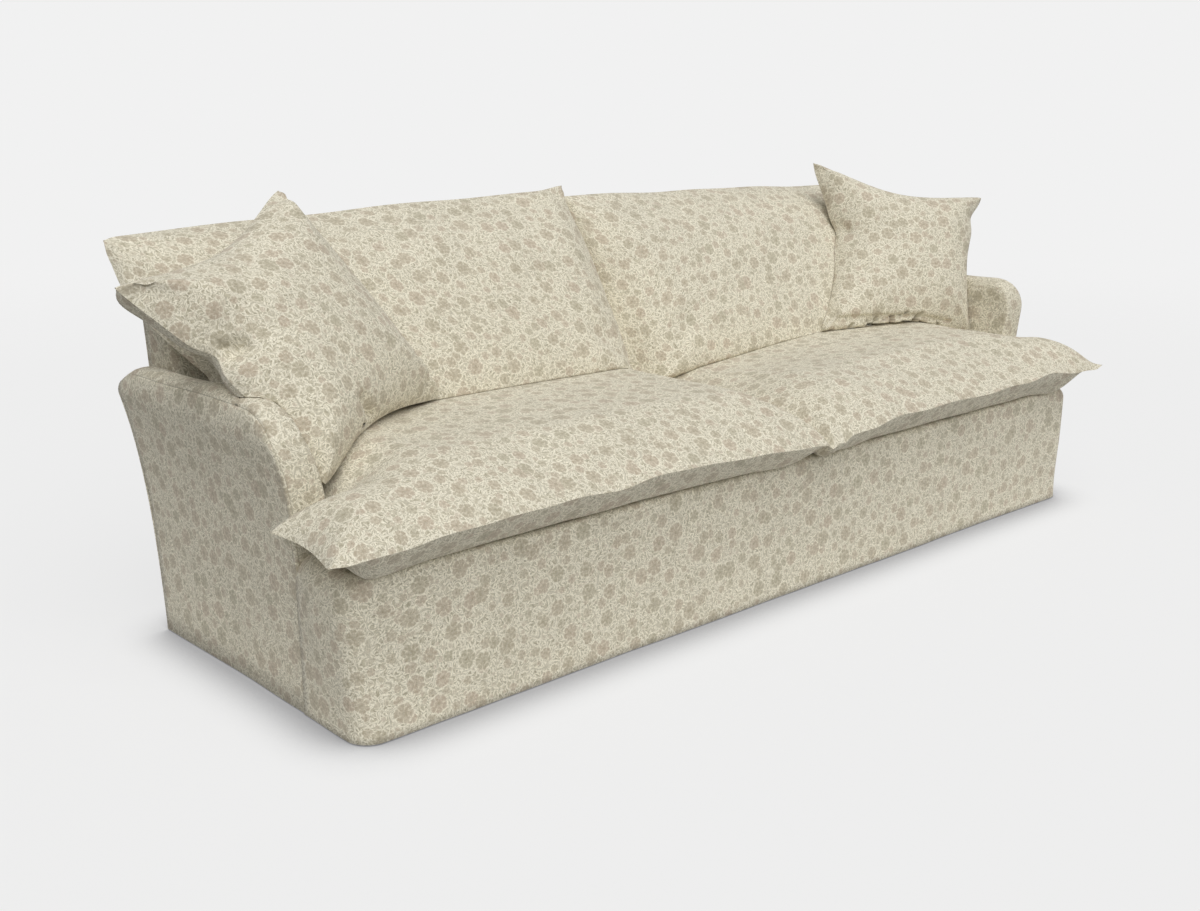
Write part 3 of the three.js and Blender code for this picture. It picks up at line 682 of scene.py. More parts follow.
armCover = {
    # depth, height and squareness of the curve from the front to the top
    "frontCurve": {1: (0.085, 0.100, 2.4), -1: (0.150, 0.165, 2.3)},
    "fall": 0.009,  # along the arm
    "rearDrop": 0.029,  # where it meets the outside back
    "rearDropAt": (0.374, 0.086),  # from here, over this length
    "headPower": 2.6,
    "lift": {1: 0.011, -1: 0.0},  # the right one stands a little higher, but not at the rear
    "outerSeamAt": 0.75,  # the band's seams, as a share of the half width of the head
    "innerSeamAt": 0.875,
    "innerSeam": {1: 0.70, -1: 1.0},  # how deep the groove lies and how much painted shade darkens it
    "frontPower": 5.0,
    "frontRoll": 0.013,
    "frontRollLow": 0.0035,
    "overhang": 0.008,
    "printFrom": {1: (4.1, 5.0), -1: (1.3, 5.4)},
    "bandPrint": 1.1,
    "innerPrint": 1.9,
}


# the arm's top falls a little towards the back, and more at its end
def armFall(y):
    a = armCover
    start, length = a["rearDropAt"]
    drop = np.clip((y - start) / length, 0, 1) ** 2
    return a["fall"] * ease((y - 0.05) / 0.25) + a["rearDrop"] * drop


# crest of the arm from the hem up the front, over the curve and to the rear
# each row: y, z, way out (y, z), depth of the roll, squareness of the head
def armCrest(side, inset, fromZ):
    a = armCover
    deep, high, square = a["frontCurve"][side]
    front, top = sofa["armFront"] + inset, sofa["armTop"] - inset
    curveZ = sofa["armTop"] - high
    headZ = sofa["armTop"] - sofa["armHead"]
    below = fromZ < sofa["deck"]
    low = np.linspace(fromZ, sofa["deck"], 9)[:-1] if below else np.array([])
    levels = np.concatenate([low, np.linspace(max(fromZ, sofa["deck"]), curveZ, 12)])
    rows = []
    for z in levels:
        rise = float(ease((z - 0.34) / 0.08))
        roll = mix(a["frontRollLow"], a["frontRoll"], ease((z - 0.30) / 0.10))
        rows.append((front - a["overhang"] * rise, z, -1.0, 0.0, roll, a["frontPower"]))
    front -= a["overhang"]
    for i in range(1, 19):
        turn = math.pi / 2 * i / 18
        cosine, sine = max(math.cos(turn), 0), math.sin(turn)
        way = np.array([-cosine ** (2 - 2 / square) / deep, sine ** (2 - 2 / square) / high])
        way /= np.linalg.norm(way)
        share = float(ease(i / 18))
        y = front + deep * (1 - cosine ** (2 / square))
        z = curveZ + (high - inset) * sine ** (2 / square)
        roll = mix(a["frontRoll"], top - headZ, share)
        rows.append((y, z, way[0], way[1], roll, mix(a["frontPower"], a["headPower"], share)))
    rearY = outsideBackY(sofa["armTop"] - a["fall"] - a["rearDrop"]) - sofa["rearLap"]
    for y in np.linspace(front + deep, rearY, 26)[1:]:
        z = top - armFall(y)
        rows.append((y, z, 0.0, 1.0, z - headZ, a["headPower"]))
    return np.array(rows), len(levels)


# turns around the head from its side to its middle, close together at the seam
def headStations(seamAt):
    seamTurn = math.acos(seamAt ** (armCover["headPower"] / 2))
    around = [seamTurn + step for step in (-0.15, -0.075, 0, 0.075, 0.15)]
    ends = [t for t in (0, 0.08, 0.17, 0.27, 0.37, 0.48) if t < around[0] - 0.04]
    ends += [t for t in around if t > 0.04]
    return seamTurn, ends + list(np.linspace(around[-1] + 0.1, math.pi / 2, 7))


def headRow(crestRow, turns, half):
    y, z, wayY, wayZ, roll, power = crestRow
    cosine = np.cos(turns)
    across = np.sign(cosine) * np.abs(cosine) ** (2 / power)
    depth = roll * (1 - np.abs(np.sin(turns)) ** (2 / power))
    placeY, placeZ = y - wayY * depth, z - wayZ * depth
    centre = armOuterX(placeZ) - sofa["armWidth"] / 2
    return grid(centre + half * across, placeY, placeZ)


def armPanels(side, inset=0.0, fromZ=sofa["hem"]):
    a = armCover
    crest, risers = armCrest(side, inset, fromZ)
    belowDeck = int(np.sum(crest[:risers, 1] < sofa["deck"] - 1e-6))
    outerTurn, outerSide = headStations(a["outerSeamAt"])
    innerTurn, innerSide = headStations(a["innerSeamAt"])
    turns = np.array(outerSide + [math.pi - t for t in reversed(innerSide[:-1])])
    first = int(np.argmax(np.isclose(turns, outerTurn)))
    last = int(np.argmax(np.isclose(turns, math.pi - innerTurn)))
    half = sofa["armWidth"] / 2 - inset
    head = np.array([headRow(row, turns, half) for row in crest])
    seam = np.zeros(head.shape[:2])
    seam[:, first] = 1
    seam[:, last] = a["innerSeam"][side]
    u, v = a["printFrom"][side]

    # the head's two flanks, as far as the seams, go on from the side panels
    def rolled(part, start):
        foot = part[:, :1, 1:]
        return foot + crest[:, None, 2:4] * arcLengths(part, 1)[..., None] + start

    outer, outerMask = head[:, :first + 1], seam[:, :first + 1]
    band, bandMask = head[:, first:last + 1], seam[:, first:last + 1]
    inner, innerMask = head[:, last:][:, ::-1], seam[:, last:][:, ::-1]
    across, along = arcLengths(band, 1), arcLengths(head[:, len(turns) // 2], 0)
    bandCloth = grid(across + u + a["bandPrint"], along[:, None] + v)
    innerCloth = rolled(inner, (u + a["innerPrint"], v))
    panels = [
        panel(outer, rolled(outer, (u, v)), outerMask),
        panel(band, bandCloth, bandMask),
        panel(inner[belowDeck:], innerCloth[belowDeck:], innerMask[belowDeck:]),
    ]
    # side panels: straight lines from the hem up to the head
    innerFoot = max(fromZ, sofa["deck"] - 0.002)
    for edge, floorZ, start, shift, outside in (
        (head[:, 0], fromZ, 0, 0, True),
        (head[:, -1], innerFoot, belowDeck, a["innerPrint"], False),
    ):
        column = edge[start:risers]
        share = (column[:, 2] - column[0, 2]) / (column[-1, 2] - column[0, 2])
        tops = edge[risers - 1:]
        rearFoot = outsideBackY(floorZ) - sofa["rearLap"]
        along = (tops[:, 1] - tops[0, 1]) / (tops[-1, 1] - tops[0, 1])
        feetY = mix(column[0, 1], rearFoot, along)
        y = mix(feetY[None, :], tops[None, :, 1], share[:, None])
        z = mix(column[0, 2], tops[None, :, 2], share[:, None])
        y[:, 0], z[:, 0] = column[:, 1], column[:, 2]
        outerX = armOuterX(z)
        x = outerX - inset if outside else outerX - sofa["armWidth"] + inset
        points = grid(x, y, z)
        points[-1] = tops
        panels.append(panel(points, grid(y + u + shift, z + v)))
    for one in panels:
        y, z = one["points"][..., 1], one["points"][..., 2]
        share = np.clip((z - sofa["deck"]) / (sofa["armTop"] - sofa["deck"]), 0, 1)
        lift = a["lift"][side] * share * (1 - ease((y - 0.05) / 0.30))
        one["points"] = one["points"] + lift[..., None] * [0, 0, 1]
    return panels


frontCover = {
    "cornerRadius": 0.048,
    "shoulderRadius": 0.046,
    "edgeRadius": 0.016,
    "rear": -0.2105,
    "lap": 0.012,
    "lean": 0.020,
    "printFrom": (0.4, 7.2),
}


def frontPanels(inset=0.0, fromZ=sofa["hem"]):
    f = frontCover
    side, front = sofa["halfWidth"] - inset, -sofa["halfDepth"] + inset
    radius = f["cornerRadius"] - inset
    rear = f["rear"] + (f["lap"] if inset == 0 else 0)
    # x, y, way out
    left = [(-side, y, -1, 0) for y in np.linspace(rear, front + radius, 9)[:-1]]
    for turn in np.linspace(0, math.pi / 2, 11):
        cosine, sine = math.cos(turn), math.sin(turn)
        left.append((-side + radius - radius * cosine, front + radius - radius * sine,
                     -cosine, -sine))
    middle = [(x, front, 0, -1) for x in np.linspace(-side + radius, side - radius, 90)[1:-1]]
    right = [(-x, y, -wayX, wayY) for x, y, wayX, wayY in reversed(left)]
    walk = np.array(left + middle + right)
    outline, ways = walk[:, :2], walk[:, 2:]
    roll = mix(f["edgeRadius"], f["shoulderRadius"], np.abs(ways[:, 0]) ** 0.7) - inset
    top = sofa["deck"] - inset
    rows = []
    for share in np.linspace(0, 1, 20):
        rows.append(np.column_stack([outline, mix(fromZ, top - roll, share)]))
    for turn in np.linspace(0, math.pi / 2, 8)[1:]:
        at = outline - ways * (roll * (1 - math.cos(turn)))[:, None]
        rows.append(np.column_stack([at, top - roll + roll * math.sin(turn)]))
    edge = rows[-1]
    goal = grid(np.clip(edge[:, 0], -side + 0.2, side - 0.2), f["rear"], edge[:, 2])
    for share in np.linspace(0, 1, 8)[1:]:
        rows.append(mix(edge, goal, share))
    points = np.array(rows)
    if inset == 0:
        share = np.clip(points[..., 2] / sofa["deck"], 0, 1)
        forward = ease((sofa["armFront"] + 0.02 - points[..., 1]) / 0.12)
        bulge = f["lean"] * forward * np.sin(share * math.pi * 0.62) ** 1.5
        lean = 0.0022 + 0.006 * share ** 2 + bulge
        x = points[..., 0]
        points[..., 0] += np.sign(x) * lean * ease((np.abs(x) - 1.05) / 0.15)
    u, v = f["printFrom"]
    up = arcLengths(points, 0)
    return [panel(points, grid(arcLengths(outline, 0) + u, up + v))]


def roundedTo(points, low, high, radius):
    inner = np.clip(points, np.array(low) + radius, np.array(high) - radius)
    way = points - inner
    far = np.linalg.norm(way, axis=-1, keepdims=True)
    return np.where(far > 1e-9, inner + way / np.maximum(far, 1e-9) * radius, points)


# the fixed back: inside face, top and two sides, drawn upright and then raked
def backWrap(inset=0.0, fromZ=sofa["deck"]):
    side, top, curve = sofa["backSide"] - inset, sofa["backTop"] - inset, sofa["backEdge"]
    edge = np.array([0, 0.002, 0.006, 0.011, 0.017, curve])
    deep = 0.108
    between = np.linspace(-side + curve, side - curve, 60)[1:-1]
    xs = np.concatenate([-side + edge, between, side - edge[::-1]])
    zs = np.concatenate([np.linspace(fromZ, top - curve, 20)[:-1], top - edge[::-1]])
    ds = np.concatenate([inset + edge, np.linspace(inset + curve, deep, 6)[1:]])
    low, high = (-side, inset, -9), (side, 9, top)

    def raked(x, depth, z):
        points = roundedTo(grid(x, depth, z), low, high, curve - inset)
        share = (points[..., 1] - inset) / (deep - inset)
        z = points[..., 2]
        y = mix(insideBackY(z) + inset, outsideBackY(z) - sofa["rearLap"], share)
        return grid(points[..., 0], y, z)

    u, v = 2.2, 8.1
    panels = []
    x, z = np.meshgrid(xs, zs)
    panels.append(panel(raked(x, inset, z), grid(x + u, z + v)))
    x, d = np.meshgrid(xs, ds)
    cloth = grid(x + u, d + top + v)
    panels.append(panel(raked(x, d, top), cloth))
    for sign in (-1, 1):
        d, z = np.meshgrid(ds, zs)
        cloth = grid(sign * (side + d) + u, z + v)
        panels.append(panel(raked(sign * side, d, z), cloth))
    return panels


def outsideBackPanel(x, z):
    points = grid(x, outsideBackY(z) - 0.0004, z)
    u, v = 0.9, 9.4
    return panel(points, grid(-x + u, z + v))


def outsideBackPanels():
    side, top, curve = sofa["backSide"], sofa["backTop"], sofa["backEdge"]
    head = sofa["armTop"] - armCover["fall"] - armCover["rearDrop"]
    across = np.linspace(-side, side, 90)
    rounding = np.array([0.017, 0.010, 0.005, 0.0015, 0])
    lowZ = np.concatenate([np.linspace(sofa["hem"], 0.55, 24), np.linspace(0.558, head, 5)])
    topZ = np.concatenate([np.linspace(head, top - curve, 10), top - rounding])
    panels = [outsideBackPanel(across[None, :], lowZ[:, None])]
    # behind the arms the edge draws in towards the arm's top
    drop = np.clip((lowZ - 0.552) / (head - 0.552), 0, 1)
    outer = armOuterX(lowZ) - 0.030 * drop ** 2.4
    wide = mix(side, outer[:, None], np.array([0, 0.3, 0.7, 1.0])[None, :])
    for sign in (-1, 1):
        panels.append(outsideBackPanel(sign * wide, lowZ[:, None]))
    bend = np.clip((topZ - top + curve) / curve, 0, 1)
    half = side - curve * (1 - np.sqrt(1 - bend ** 2))
    panels.append(outsideBackPanel(across[None, :] / side * half[:, None], topZ[:, None]))
    return panels


def deckPanels(inset=0.0):
    z = sofa["deck"] - inset - 0.0002
    side = float(armOuterX(sofa["deck"])) - sofa["armWidth"] - 0.001
    front, rear = sofa["armFront"] + 0.0005, insideBackY(sofa["deck"]) - 0.001
    x, y = np.meshgrid(np.linspace(-side, side, 50), np.linspace(front, rear, 16))
    hollow = 0.0012 * (unevenness(grid(x, y, 0), 0.5, 5) - 1.2)
    points = grid(x, y, z + hollow)
    return [panel(points, grid(x + 3.0, y + 9.0))]


# soft unevenness, seam lines drawn in, hem waving a little
def upholster(obj, seed, lift=0.0012, groove=0.0020, hemWave=0.003):
    points = places(obj)
    soft = lift * (unevenness(points, 0.55, seed) + 0.5 * unevenness(points, 0.19, seed + 1))
    low = np.clip(1 - points[:, 2] / 0.16, 0, 1) ** 2
    soft += hemWave * low * (0.7 + unevenness(points * [1, 1, 0], 0.5, seed + 2))
    setPlaces(obj, points + normals(obj) * (soft[:, None] - groove * seamDepth(obj)))


# materials


# a colour by its screen values, all of them over 10
def linear(red, green, blue):
    return tuple(((c / 255 + 0.055) / 1.055) ** 2.4 for c in (red, green, blue)) + (1,)


# short hands for a node tree: a call adds its node or nodes and returns the output
class Bench:
    def __init__(self, tree):
        self.tree = tree

    def put(self, kind, inputs=(), output=0, **settings):
        node = self.tree.nodes.new(kind)
        for name, value in settings.items():
            setattr(node, name, value)
        for name, value in dict(inputs).items():
            if isinstance(value, bpy.types.NodeSocket):
                self.join(value, node.inputs[name])
            else:
                node.inputs[name].default_value = value
        return node.outputs[output]

    def join(self, output, socket):
        self.tree.links.new(output, socket)

    def sum(self, operation, a, b=0.0, c=0.0):
        return self.put("ShaderNodeMath", {0: a, 1: b, 2: c}, operation=operation)

    def times(self, a, b):
        return self.sum("MULTIPLY", a, b)

    def plus(self, a, b):
        return self.sum("ADD", a, b)

    def minus(self, a, b):
        return self.sum("SUBTRACT", a, b)

    # a times b plus c
    def affine(self, a, b, c):
        return self.sum("MULTIPLY_ADD", a, b, c)

    def vector(self, operation, a, b=(0, 0, 0), output=0):
        return self.put("ShaderNodeVectorMath", {0: a, 1: b}, output, operation=operation)

    def split(self, place):
        node = self.tree.nodes.new("ShaderNodeSeparateXYZ")
        self.join(place, node.inputs[0])
        return node.outputs

    def blend(self, share, a, b, kind="MIX"):
        inputs = {0: share, 6: a, 7: b}
        return self.put("ShaderNodeMix", inputs, 2, data_type="RGBA", blend_type=kind)

    def between(self, value, low, high, toLow=0.0, toHigh=1.0):
        inputs = {0: value, 1: low, 2: high, 3: toLow, 4: toHigh}
        return self.put("ShaderNodeMapRange", inputs, interpolation_type="SMOOTHSTEP")

    def noise(self, place, scale, detail, roughness=0.5, dimensions="2D", output=0):
        inputs = {"Vector": place, "Scale": scale, "Detail": detail, "Roughness": roughness}
        return self.put("ShaderNodeTexNoise", inputs, output, noise_dimensions=dimensions)

    def grey(self, tone):
        return self.put("ShaderNodeCombineColor", {0: tone, 1: tone, 2: tone})

    def objectPlace(self):
        return self.put("ShaderNodeTexCoord", {}, 3)

    # sine ridges of a weave, this many radians to the metre
    def ridges(self, place, turn):
        return self.sum("ABSOLUTE", self.sum("SINE", self.times(place, turn)))

    def bump(self, height, strength, distance):
        inputs = {"Height": height, "Strength": strength, "Distance": distance}
        return self.put("ShaderNodeBump", inputs)


def newGroup(name, outputs):
    tree = bpy.data.node_groups.new(name, "ShaderNodeTree")
    tree.interface.new_socket("Place", in_out="INPUT", socket_type="NodeSocketVector")
    for label, kind in outputs:
        tree.interface.new_socket(label, in_out="OUTPUT", socket_type=kind)
    place = tree.nodes.new("NodeGroupInput").outputs["Place"]
    return tree, Bench(tree), place, tree.nodes.new("NodeGroupOutput").inputs


sprigPrint = {
    "ground": linear(198, 191, 169),
    "cream": linear(240, 234, 215),
    "shadeLeaf": linear(166, 159, 138),
    "blossomWarm": linear(183, 168, 148),
    "blossomCool": linear(174, 167, 144),
    "heart": linear(154, 144, 123),
    # pitch, radius in millimetres, petals, how deep they are cut, fullness
    "flowers": [(25, 5.2, 5, 0.10, 0.55), (45, 11.0, 5, 0.17, 0.72), (66, 18.5, 6, 0.17, 0.76)],
    # pitch, length, width, drift, spread of turns, strength
    "leaves": [
        (14.5, 9.4, 1.90, 58, 1.2, 0.88), (12.8, 8.4, 1.60, 47, -1.5, 0.85),
        (15.6, 10.2, 2.10, 71, 2.0, 0.80), (10.9, 7.0, 1.35, 39, -2.4, 0.75),
    ],
    "darkLeaf": (14.0, 9.2, 2.1, 80, 2.2),
    "stems": [(0.0, 0.75), (1300.0, 0.60)],
    "vinePitch": 88,
    "wobble": 3.2,
}


def printCells(b, at, pitch, randomness):
    node = b.tree.nodes.new("ShaderNodeTexVoronoi")
    node.voronoi_dimensions = "2D"
    node.inputs["Scale"].default_value = 1 / pitch
    node.inputs["Randomness"].default_value = randomness
    b.join(at, node.inputs["Vector"])
    dice = b.tree.nodes.new("ShaderNodeSeparateColor")
    b.join(node.outputs["Color"], dice.inputs[0])
    middle = node.outputs["Position"]
    return middle, b.vector("SUBTRACT", at, middle), dice.outputs


# small bent leaves, one to a cell, turned by a slow drift: 0 in the middle, over 1 outside
def printLeaves(b, place, shift, pitch, length, width, drift, spread):
    at = b.vector("ADD", place, (shift, shift * 0.7, 0))
    middle, local, dice = printCells(b, at, pitch, 0.95)
    flow = b.noise(middle, 1 / drift, 1.0)
    turn = b.plus(b.times(flow, 19.0), b.times(dice[0], spread))
    inputs = {"Vector": local, "Angle": turn}
    xy = b.split(b.put("ShaderNodeVectorRotate", inputs, rotation_type="Z_AXIS"))
    along = b.sum("DIVIDE", xy[0], length)
    along = b.times(along, along)
    side = b.sum("ABSOLUTE", b.minus(xy[1], b.times(along, 3.2)))
    return b.plus(b.sum("DIVIDE", side, width), along)


def printFlowers(b, place, color, thin, ragged, shift, pitch, radius, petals, notch, fullness):
    p = sprigPrint
    _, local, dice = printCells(b, b.vector("ADD", place, (shift, shift, 0)), pitch, 0.82)
    xy = b.split(local)
    far = b.vector("LENGTH", local, output=1)
    angle = b.plus(b.sum("ARCTAN2", xy[1], xy[0]), b.times(dice[0], 6.28))
    size = b.times(radius, b.affine(dice[1], 0.45, 0.72))
    lobe = b.sum("ABSOLUTE", b.sum("COSINE", b.times(angle, petals / 2)))
    lobe = b.sum("POWER", lobe, 0.45)
    reach = b.sum("DIVIDE", far, b.times(size, b.affine(lobe, notch, 1 - notch)))
    reach = b.affine(b.minus(ragged, 0.5), 0.38, reach)
    share = b.sum("DIVIDE", far, size)
    tint = b.blend(dice[2], p["blossomCool"], p["blossomWarm"])
    gap = b.times(b.between(lobe, 0.62, 0.40), b.between(share, 0.30, 0.50))
    tint = b.blend(b.times(gap, 0.45), tint, p["cream"])
    ring = b.times(b.between(share, 0.62, 0.56), b.between(share, 0.46, 0.52))
    tint = b.blend(b.times(b.times(ring, thin), 0.35), tint, p["cream"])
    tint = b.blend(b.times(b.between(share, 0.24, 0.14), 0.5), tint, p["heart"])
    halo = b.times(b.between(reach, 1.26, 1.10), b.affine(thin, 0.42, 0.20))
    body = b.times(b.between(reach, 1.06, 0.90), b.affine(thin, -0.22, fullness + 0.15))
    return b.blend(body, b.blend(halo, color, p["cream"]), tint)


def makeSprigPrint():
    p = sprigPrint
    tree, b, given, out = newGroup("sprigPrint", [("Color", "NodeSocketColor")])
    straight = b.vector("MULTIPLY", given, (1000, 1000, 0))
    # hand-drawn lines: everything wobbles a little
    drift = b.vector("SUBTRACT", b.noise(straight, 0.07, 1.5, output=1), (0.5, 0.5, 0.5))
    drift = b.vector("MULTIPLY", drift, (2 * p["wobble"], 2 * p["wobble"], 0))
    place = b.vector("ADD", straight, drift)

    deep = b.between(printLeaves(b, place, 811.0, *p["darkLeaf"]), 1.35, 0.65)
    color = b.blend(b.times(deep, 0.75), p["ground"], p["shadeLeaf"])
    # pale leaves with a darker rim
    for i, (*shape, strength) in enumerate(p["leaves"]):
        reach = printLeaves(b, place, 3.0 + 407.0 * i, *shape)
        color = b.blend(b.times(b.between(reach, 2.2, 1.5), 0.34), color, p["shadeLeaf"])
        color = b.blend(b.times(b.between(reach, 1.35, 0.75), strength), color, p["cream"])
    # stems wander between the flowers
    for shift, share in p["stems"]:
        at = b.vector("ADD", place, (shift, -shift, 0))
        field = b.noise(at, 1 / p["vinePitch"], 0.6)
        wander = b.sum("ABSOLUTE", b.minus(b.sum("FRACT", b.times(field, 5.0)), 0.5))
        color = b.blend(b.times(b.between(wander, 0.075, 0.045), share * 0.7), color, p["cream"])
        line = b.times(b.between(wander, 0.035, 0.012), share * 0.8)
        color = b.blend(line, color, p["shadeLeaf"])
    # the dye is thin in places, so that an outline comes and goes
    thin = b.between(b.noise(straight, 0.16, 2.0), 0.35, 0.62)
    ragged = b.noise(straight, 0.42, 1.5)
    for i, flower in enumerate(p["flowers"]):
        color = printFlowers(b, place, color, thin, ragged, 533.0 * (2 - i), *flower)
    # the linen takes the dye unevenly
    cloud = b.between(b.noise(given, 9.0, 3.0), 0.3, 0.7, 0.97, 1.02)
    mottle = b.between(b.noise(straight, 0.36, 2.0, 0.7), 0.25, 0.75, -0.10, 0.10)
    b.join(b.blend(1.0, color, b.grey(b.plus(cloud, mottle)), "MULTIPLY"), out["Color"])
    return tree


def makeLinenWeave():
    threads, slubLength = 620, 30
    sockets = [("Height", "NodeSocketFloat"), ("Slub", "NodeSocketFloat")]
    tree, b, given, out = newGroup("linenWeave", sockets)
    xy = b.split(given)
    turn = 2 * math.pi * threads
    weave = b.times(b.plus(b.ridges(xy[0], turn), b.ridges(xy[1], turn)), 0.5)
    slubs = [
        b.noise(b.vector("MULTIPLY", given, stretch), 1.0, 1.0)
        for stretch in ((slubLength, threads, 0), (threads, slubLength, 0))
    ]
    slub = b.times(b.plus(*slubs), 0.5)
    b.join(b.plus(b.times(weave, 0.5), slub), out["Height"])
    b.join(slub, out["Slub"])
    return tree


def makeWoodGrain():
    tree, b, given, out = newGroup("woodGrain", [("Grain", "NodeSocketFloat")])
    long = b.vector("MULTIPLY", given, (3.0, 55.0, 55.0))
    ray = b.noise(long, 1.0, 5.0, 0.6, "3D")
    pores = b.noise(b.vector("MULTIPLY", given, (30.0, 420.0, 420.0)), 1.0, 1.0, 0.5, "3D")
    ray = b.times(b.between(ray, 0.3, 0.7), 0.7)
    b.join(b.affine(b.between(pores, 0.35, 0.65), 0.3, ray), out["Grain"])
    return tree


printGroup, weaveGroup, woodGroup = makeSprigPrint(), makeLinenWeave(), makeWoodGrain()


def newMaterial(name, roughness, **sockets):
    material = bpy.data.materials.new(name)
    material.use_nodes = True
    shader = material.node_tree.nodes["Principled BSDF"].inputs
    shader["Roughness"].default_value = roughness
    for label, value in sockets.items():
        shader[label.replace("_", " ")].default_value = value
    return material, Bench(material.node_tree), shader


def placeGroup(b, group, place):
    node = b.tree.nodes.new("ShaderNodeGroup")
    node.node_tree = group
    b.join(place, node.inputs["Place"])
    return node.outputs


def makePrintedLinen(name):
    material, b, shader = newMaterial(
        name, 0.92, Specular_IOR_Level=0.18, Sheen_Weight=0.12, Sheen_Roughness=0.6,
    )
    place = b.put("ShaderNodeUVMap", uv_map="cloth")
    printed, woven = placeGroup(b, printGroup, place), placeGroup(b, weaveGroup, place)
    # painted shade: the colour is darkened along the seam lines, standing in for the shade in
    # their grooves
    line = b.between(b.put("ShaderNodeAttribute", {}, 2, attribute_name="seam"), 0.55, 1.0)
    tone = b.grey(b.between(woven["Slub"], 0.3, 0.7, 0.96, 1.04))
    color = b.blend(1.0, printed["Color"], tone, "MULTIPLY")
    color = b.blend(b.times(line, 0.50), color, linear(104, 98, 82))
    b.join(color, shader["Base Color"])
    b.join(b.bump(woven["Height"], 0.25, 0.0006), shader["Normal"])
    b.join(b.between(woven["Slub"], 0.2, 0.8, 0.86, 0.98), shader["Roughness"])
    return material


def makeWood(name, pale, dark, roughness, coat=0.0):
    material, b, shader = newMaterial(name, roughness, Coat_Weight=coat, Coat_Roughness=0.25)
    grain = placeGroup(b, woodGroup, b.objectPlace())["Grain"]
    b.join(b.blend(grain, pale, dark), shader["Base Color"])
    b.join(b.bump(grain, 0.2, 0.0005), shader["Normal"])
    b.join(b.between(grain, 0, 1, roughness - 0.08, roughness + 0.1), shader["Roughness"])
    return material


def makeSteel():
    material, b, shader = newMaterial("springSteel", 0.36, Metallic=1.0)
    marks = b.noise(b.objectPlace(), 140.0, 4.0, 0.5, "3D")
    b.join(b.blend(marks, linear(150, 152, 156), linear(112, 114, 118)), shader["Base Color"])
    b.join(b.between(marks, 0.2, 0.8, 0.28, 0.5), shader["Roughness"])
    return material


# plain cloths that only show from underneath or where a cushion is lifted
def makePlainCloth(name, pale, dark, threads, roughness):
    material, b, shader = newMaterial(name, roughness, Specular_IOR_Level=0.2)
    place = b.objectPlace()
    xyz = b.split(place)
    turn = 2 * math.pi * threads
    warp, weft = b.ridges(xyz[0], turn), b.ridges(b.plus(xyz[1], xyz[2]), turn)
    fluff = b.noise(place, threads / 3, 4.0, 0.5, "3D")
    share = b.times(b.plus(b.times(b.plus(warp, weft), 0.5), fluff), 0.5)
    b.join(b.blend(share, dark, pale), shader["Base Color"])
    b.join(b.bump(share, 0.35, 0.0008), shader["Normal"])
    return material


coverLinen, cushionLinen = makePrintedLinen("coverLinen"), makePrintedLinen("cushionLinen")
print("print and linen ready")
beech = makeWood("beech", linear(205, 168, 122), linear(176, 133, 88), 0.62)
stainedWood = makeWood("stainedWood", linear(88, 58, 38), linear(52, 33, 22), 0.42, 0.3)
springSteel = makeSteel()
hessian = makePlainCloth("hessian", linear(178, 150, 104), linear(128, 104, 68), 380, 0.95)
blackCloth = makePlainCloth("blackCloth", linear(52, 52, 54), linear(28, 28, 30), 500, 0.95)
wadding = makePlainCloth("wadding", linear(238, 234, 224), linear(216, 210, 196), 60, 0.98)


# making the pieces

skins = {}


def finishPiece(obj, nodes, body, material):
    obj.data.materials.clear()
    obj.data.materials.append(material)
    for name in ("label", "crease_edge", "cut"):
        if name in obj.data.attributes:
            obj.data.attributes.remove(obj.data.attributes[name])
    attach(obj, body)
    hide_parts(*nodes)


def coverPiece(name, panels, inside, seed, flat, area, restsOn, nodes, **soft):
    obj = sewPanels(name, panels, inside)
    upholster(obj, seed, **soft)
    skins[name] = skinOf(obj)
    wall(obj, sofa["cloth"])
    finishPiece(obj, nodes, "sofa_body", coverLinen)


def waddingPiece(name, panels, inside, thickness, node):
    obj = sewPanels(name, panels, inside)
    wall(obj, thickness)
    finishPiece(obj, [node], "sofa_body", wadding)


def buildCovers():
    under, padFoot = 0.0052, 0.3365  # wadding lies this far under the cover, from this height up
    for sideName, side in (("right", 1), ("left", -1)):
        pads = onSide(side, armPanels(side, under, padFoot))
        waddingPiece(f"armWadding.{sideName}", pads, (side * 1.237, 0.1, 0.45), 0.012,
                     f"arm_pad_{sideName}")
        coverPiece(f"armCover.{sideName}", onSide(side, armPanels(side)), (side * 1.21, 0.1, 0.3),
                   60 + side, (1.5, 0.75), 0.67, [f"armWadding.{sideName}"],
                   [f"arm_cover_{sideName}"])
    waddingPiece("frontWadding", frontPanels(under, 0.060), (0, -0.3, 0.2), 0.009, "front_pad")
    coverPiece("frontCover", frontPanels(), (0, -0.3, 0.2), 71, (2.9, 0.55), 1.35,
               ["frontWadding"], ["front_cover"])
    waddingPiece("backWadding", backWrap(under, padFoot), (0, 0.42, 0.4), 0.016, "back_pad")
    coverPiece("insideBack", backWrap(), (0, 0.42, 0.4), 75, (2.7, 0.58), 1.45,
               ["backWadding"], ["inside_back_cover"], hemWave=0)
    coverPiece("outsideBack", outsideBackPanels(), (0, -0.3, 0.4), 78, (2.6, 0.79), 1.95,
               ["back_rail"], ["outside_back_cover"], lift=0.0008)
    waddingPiece("seatWadding", deckPanels(0.0048), (0, 0, -5), 0.014, "seat_pad")
    coverPiece("platform", deckPanels(), (0, 0, -5), 81, (2.34, 0.5), 1.16,
               ["seatWadding"], ["platform_cover"], lift=0.0, hemWave=0)
    print("fitted cover done")


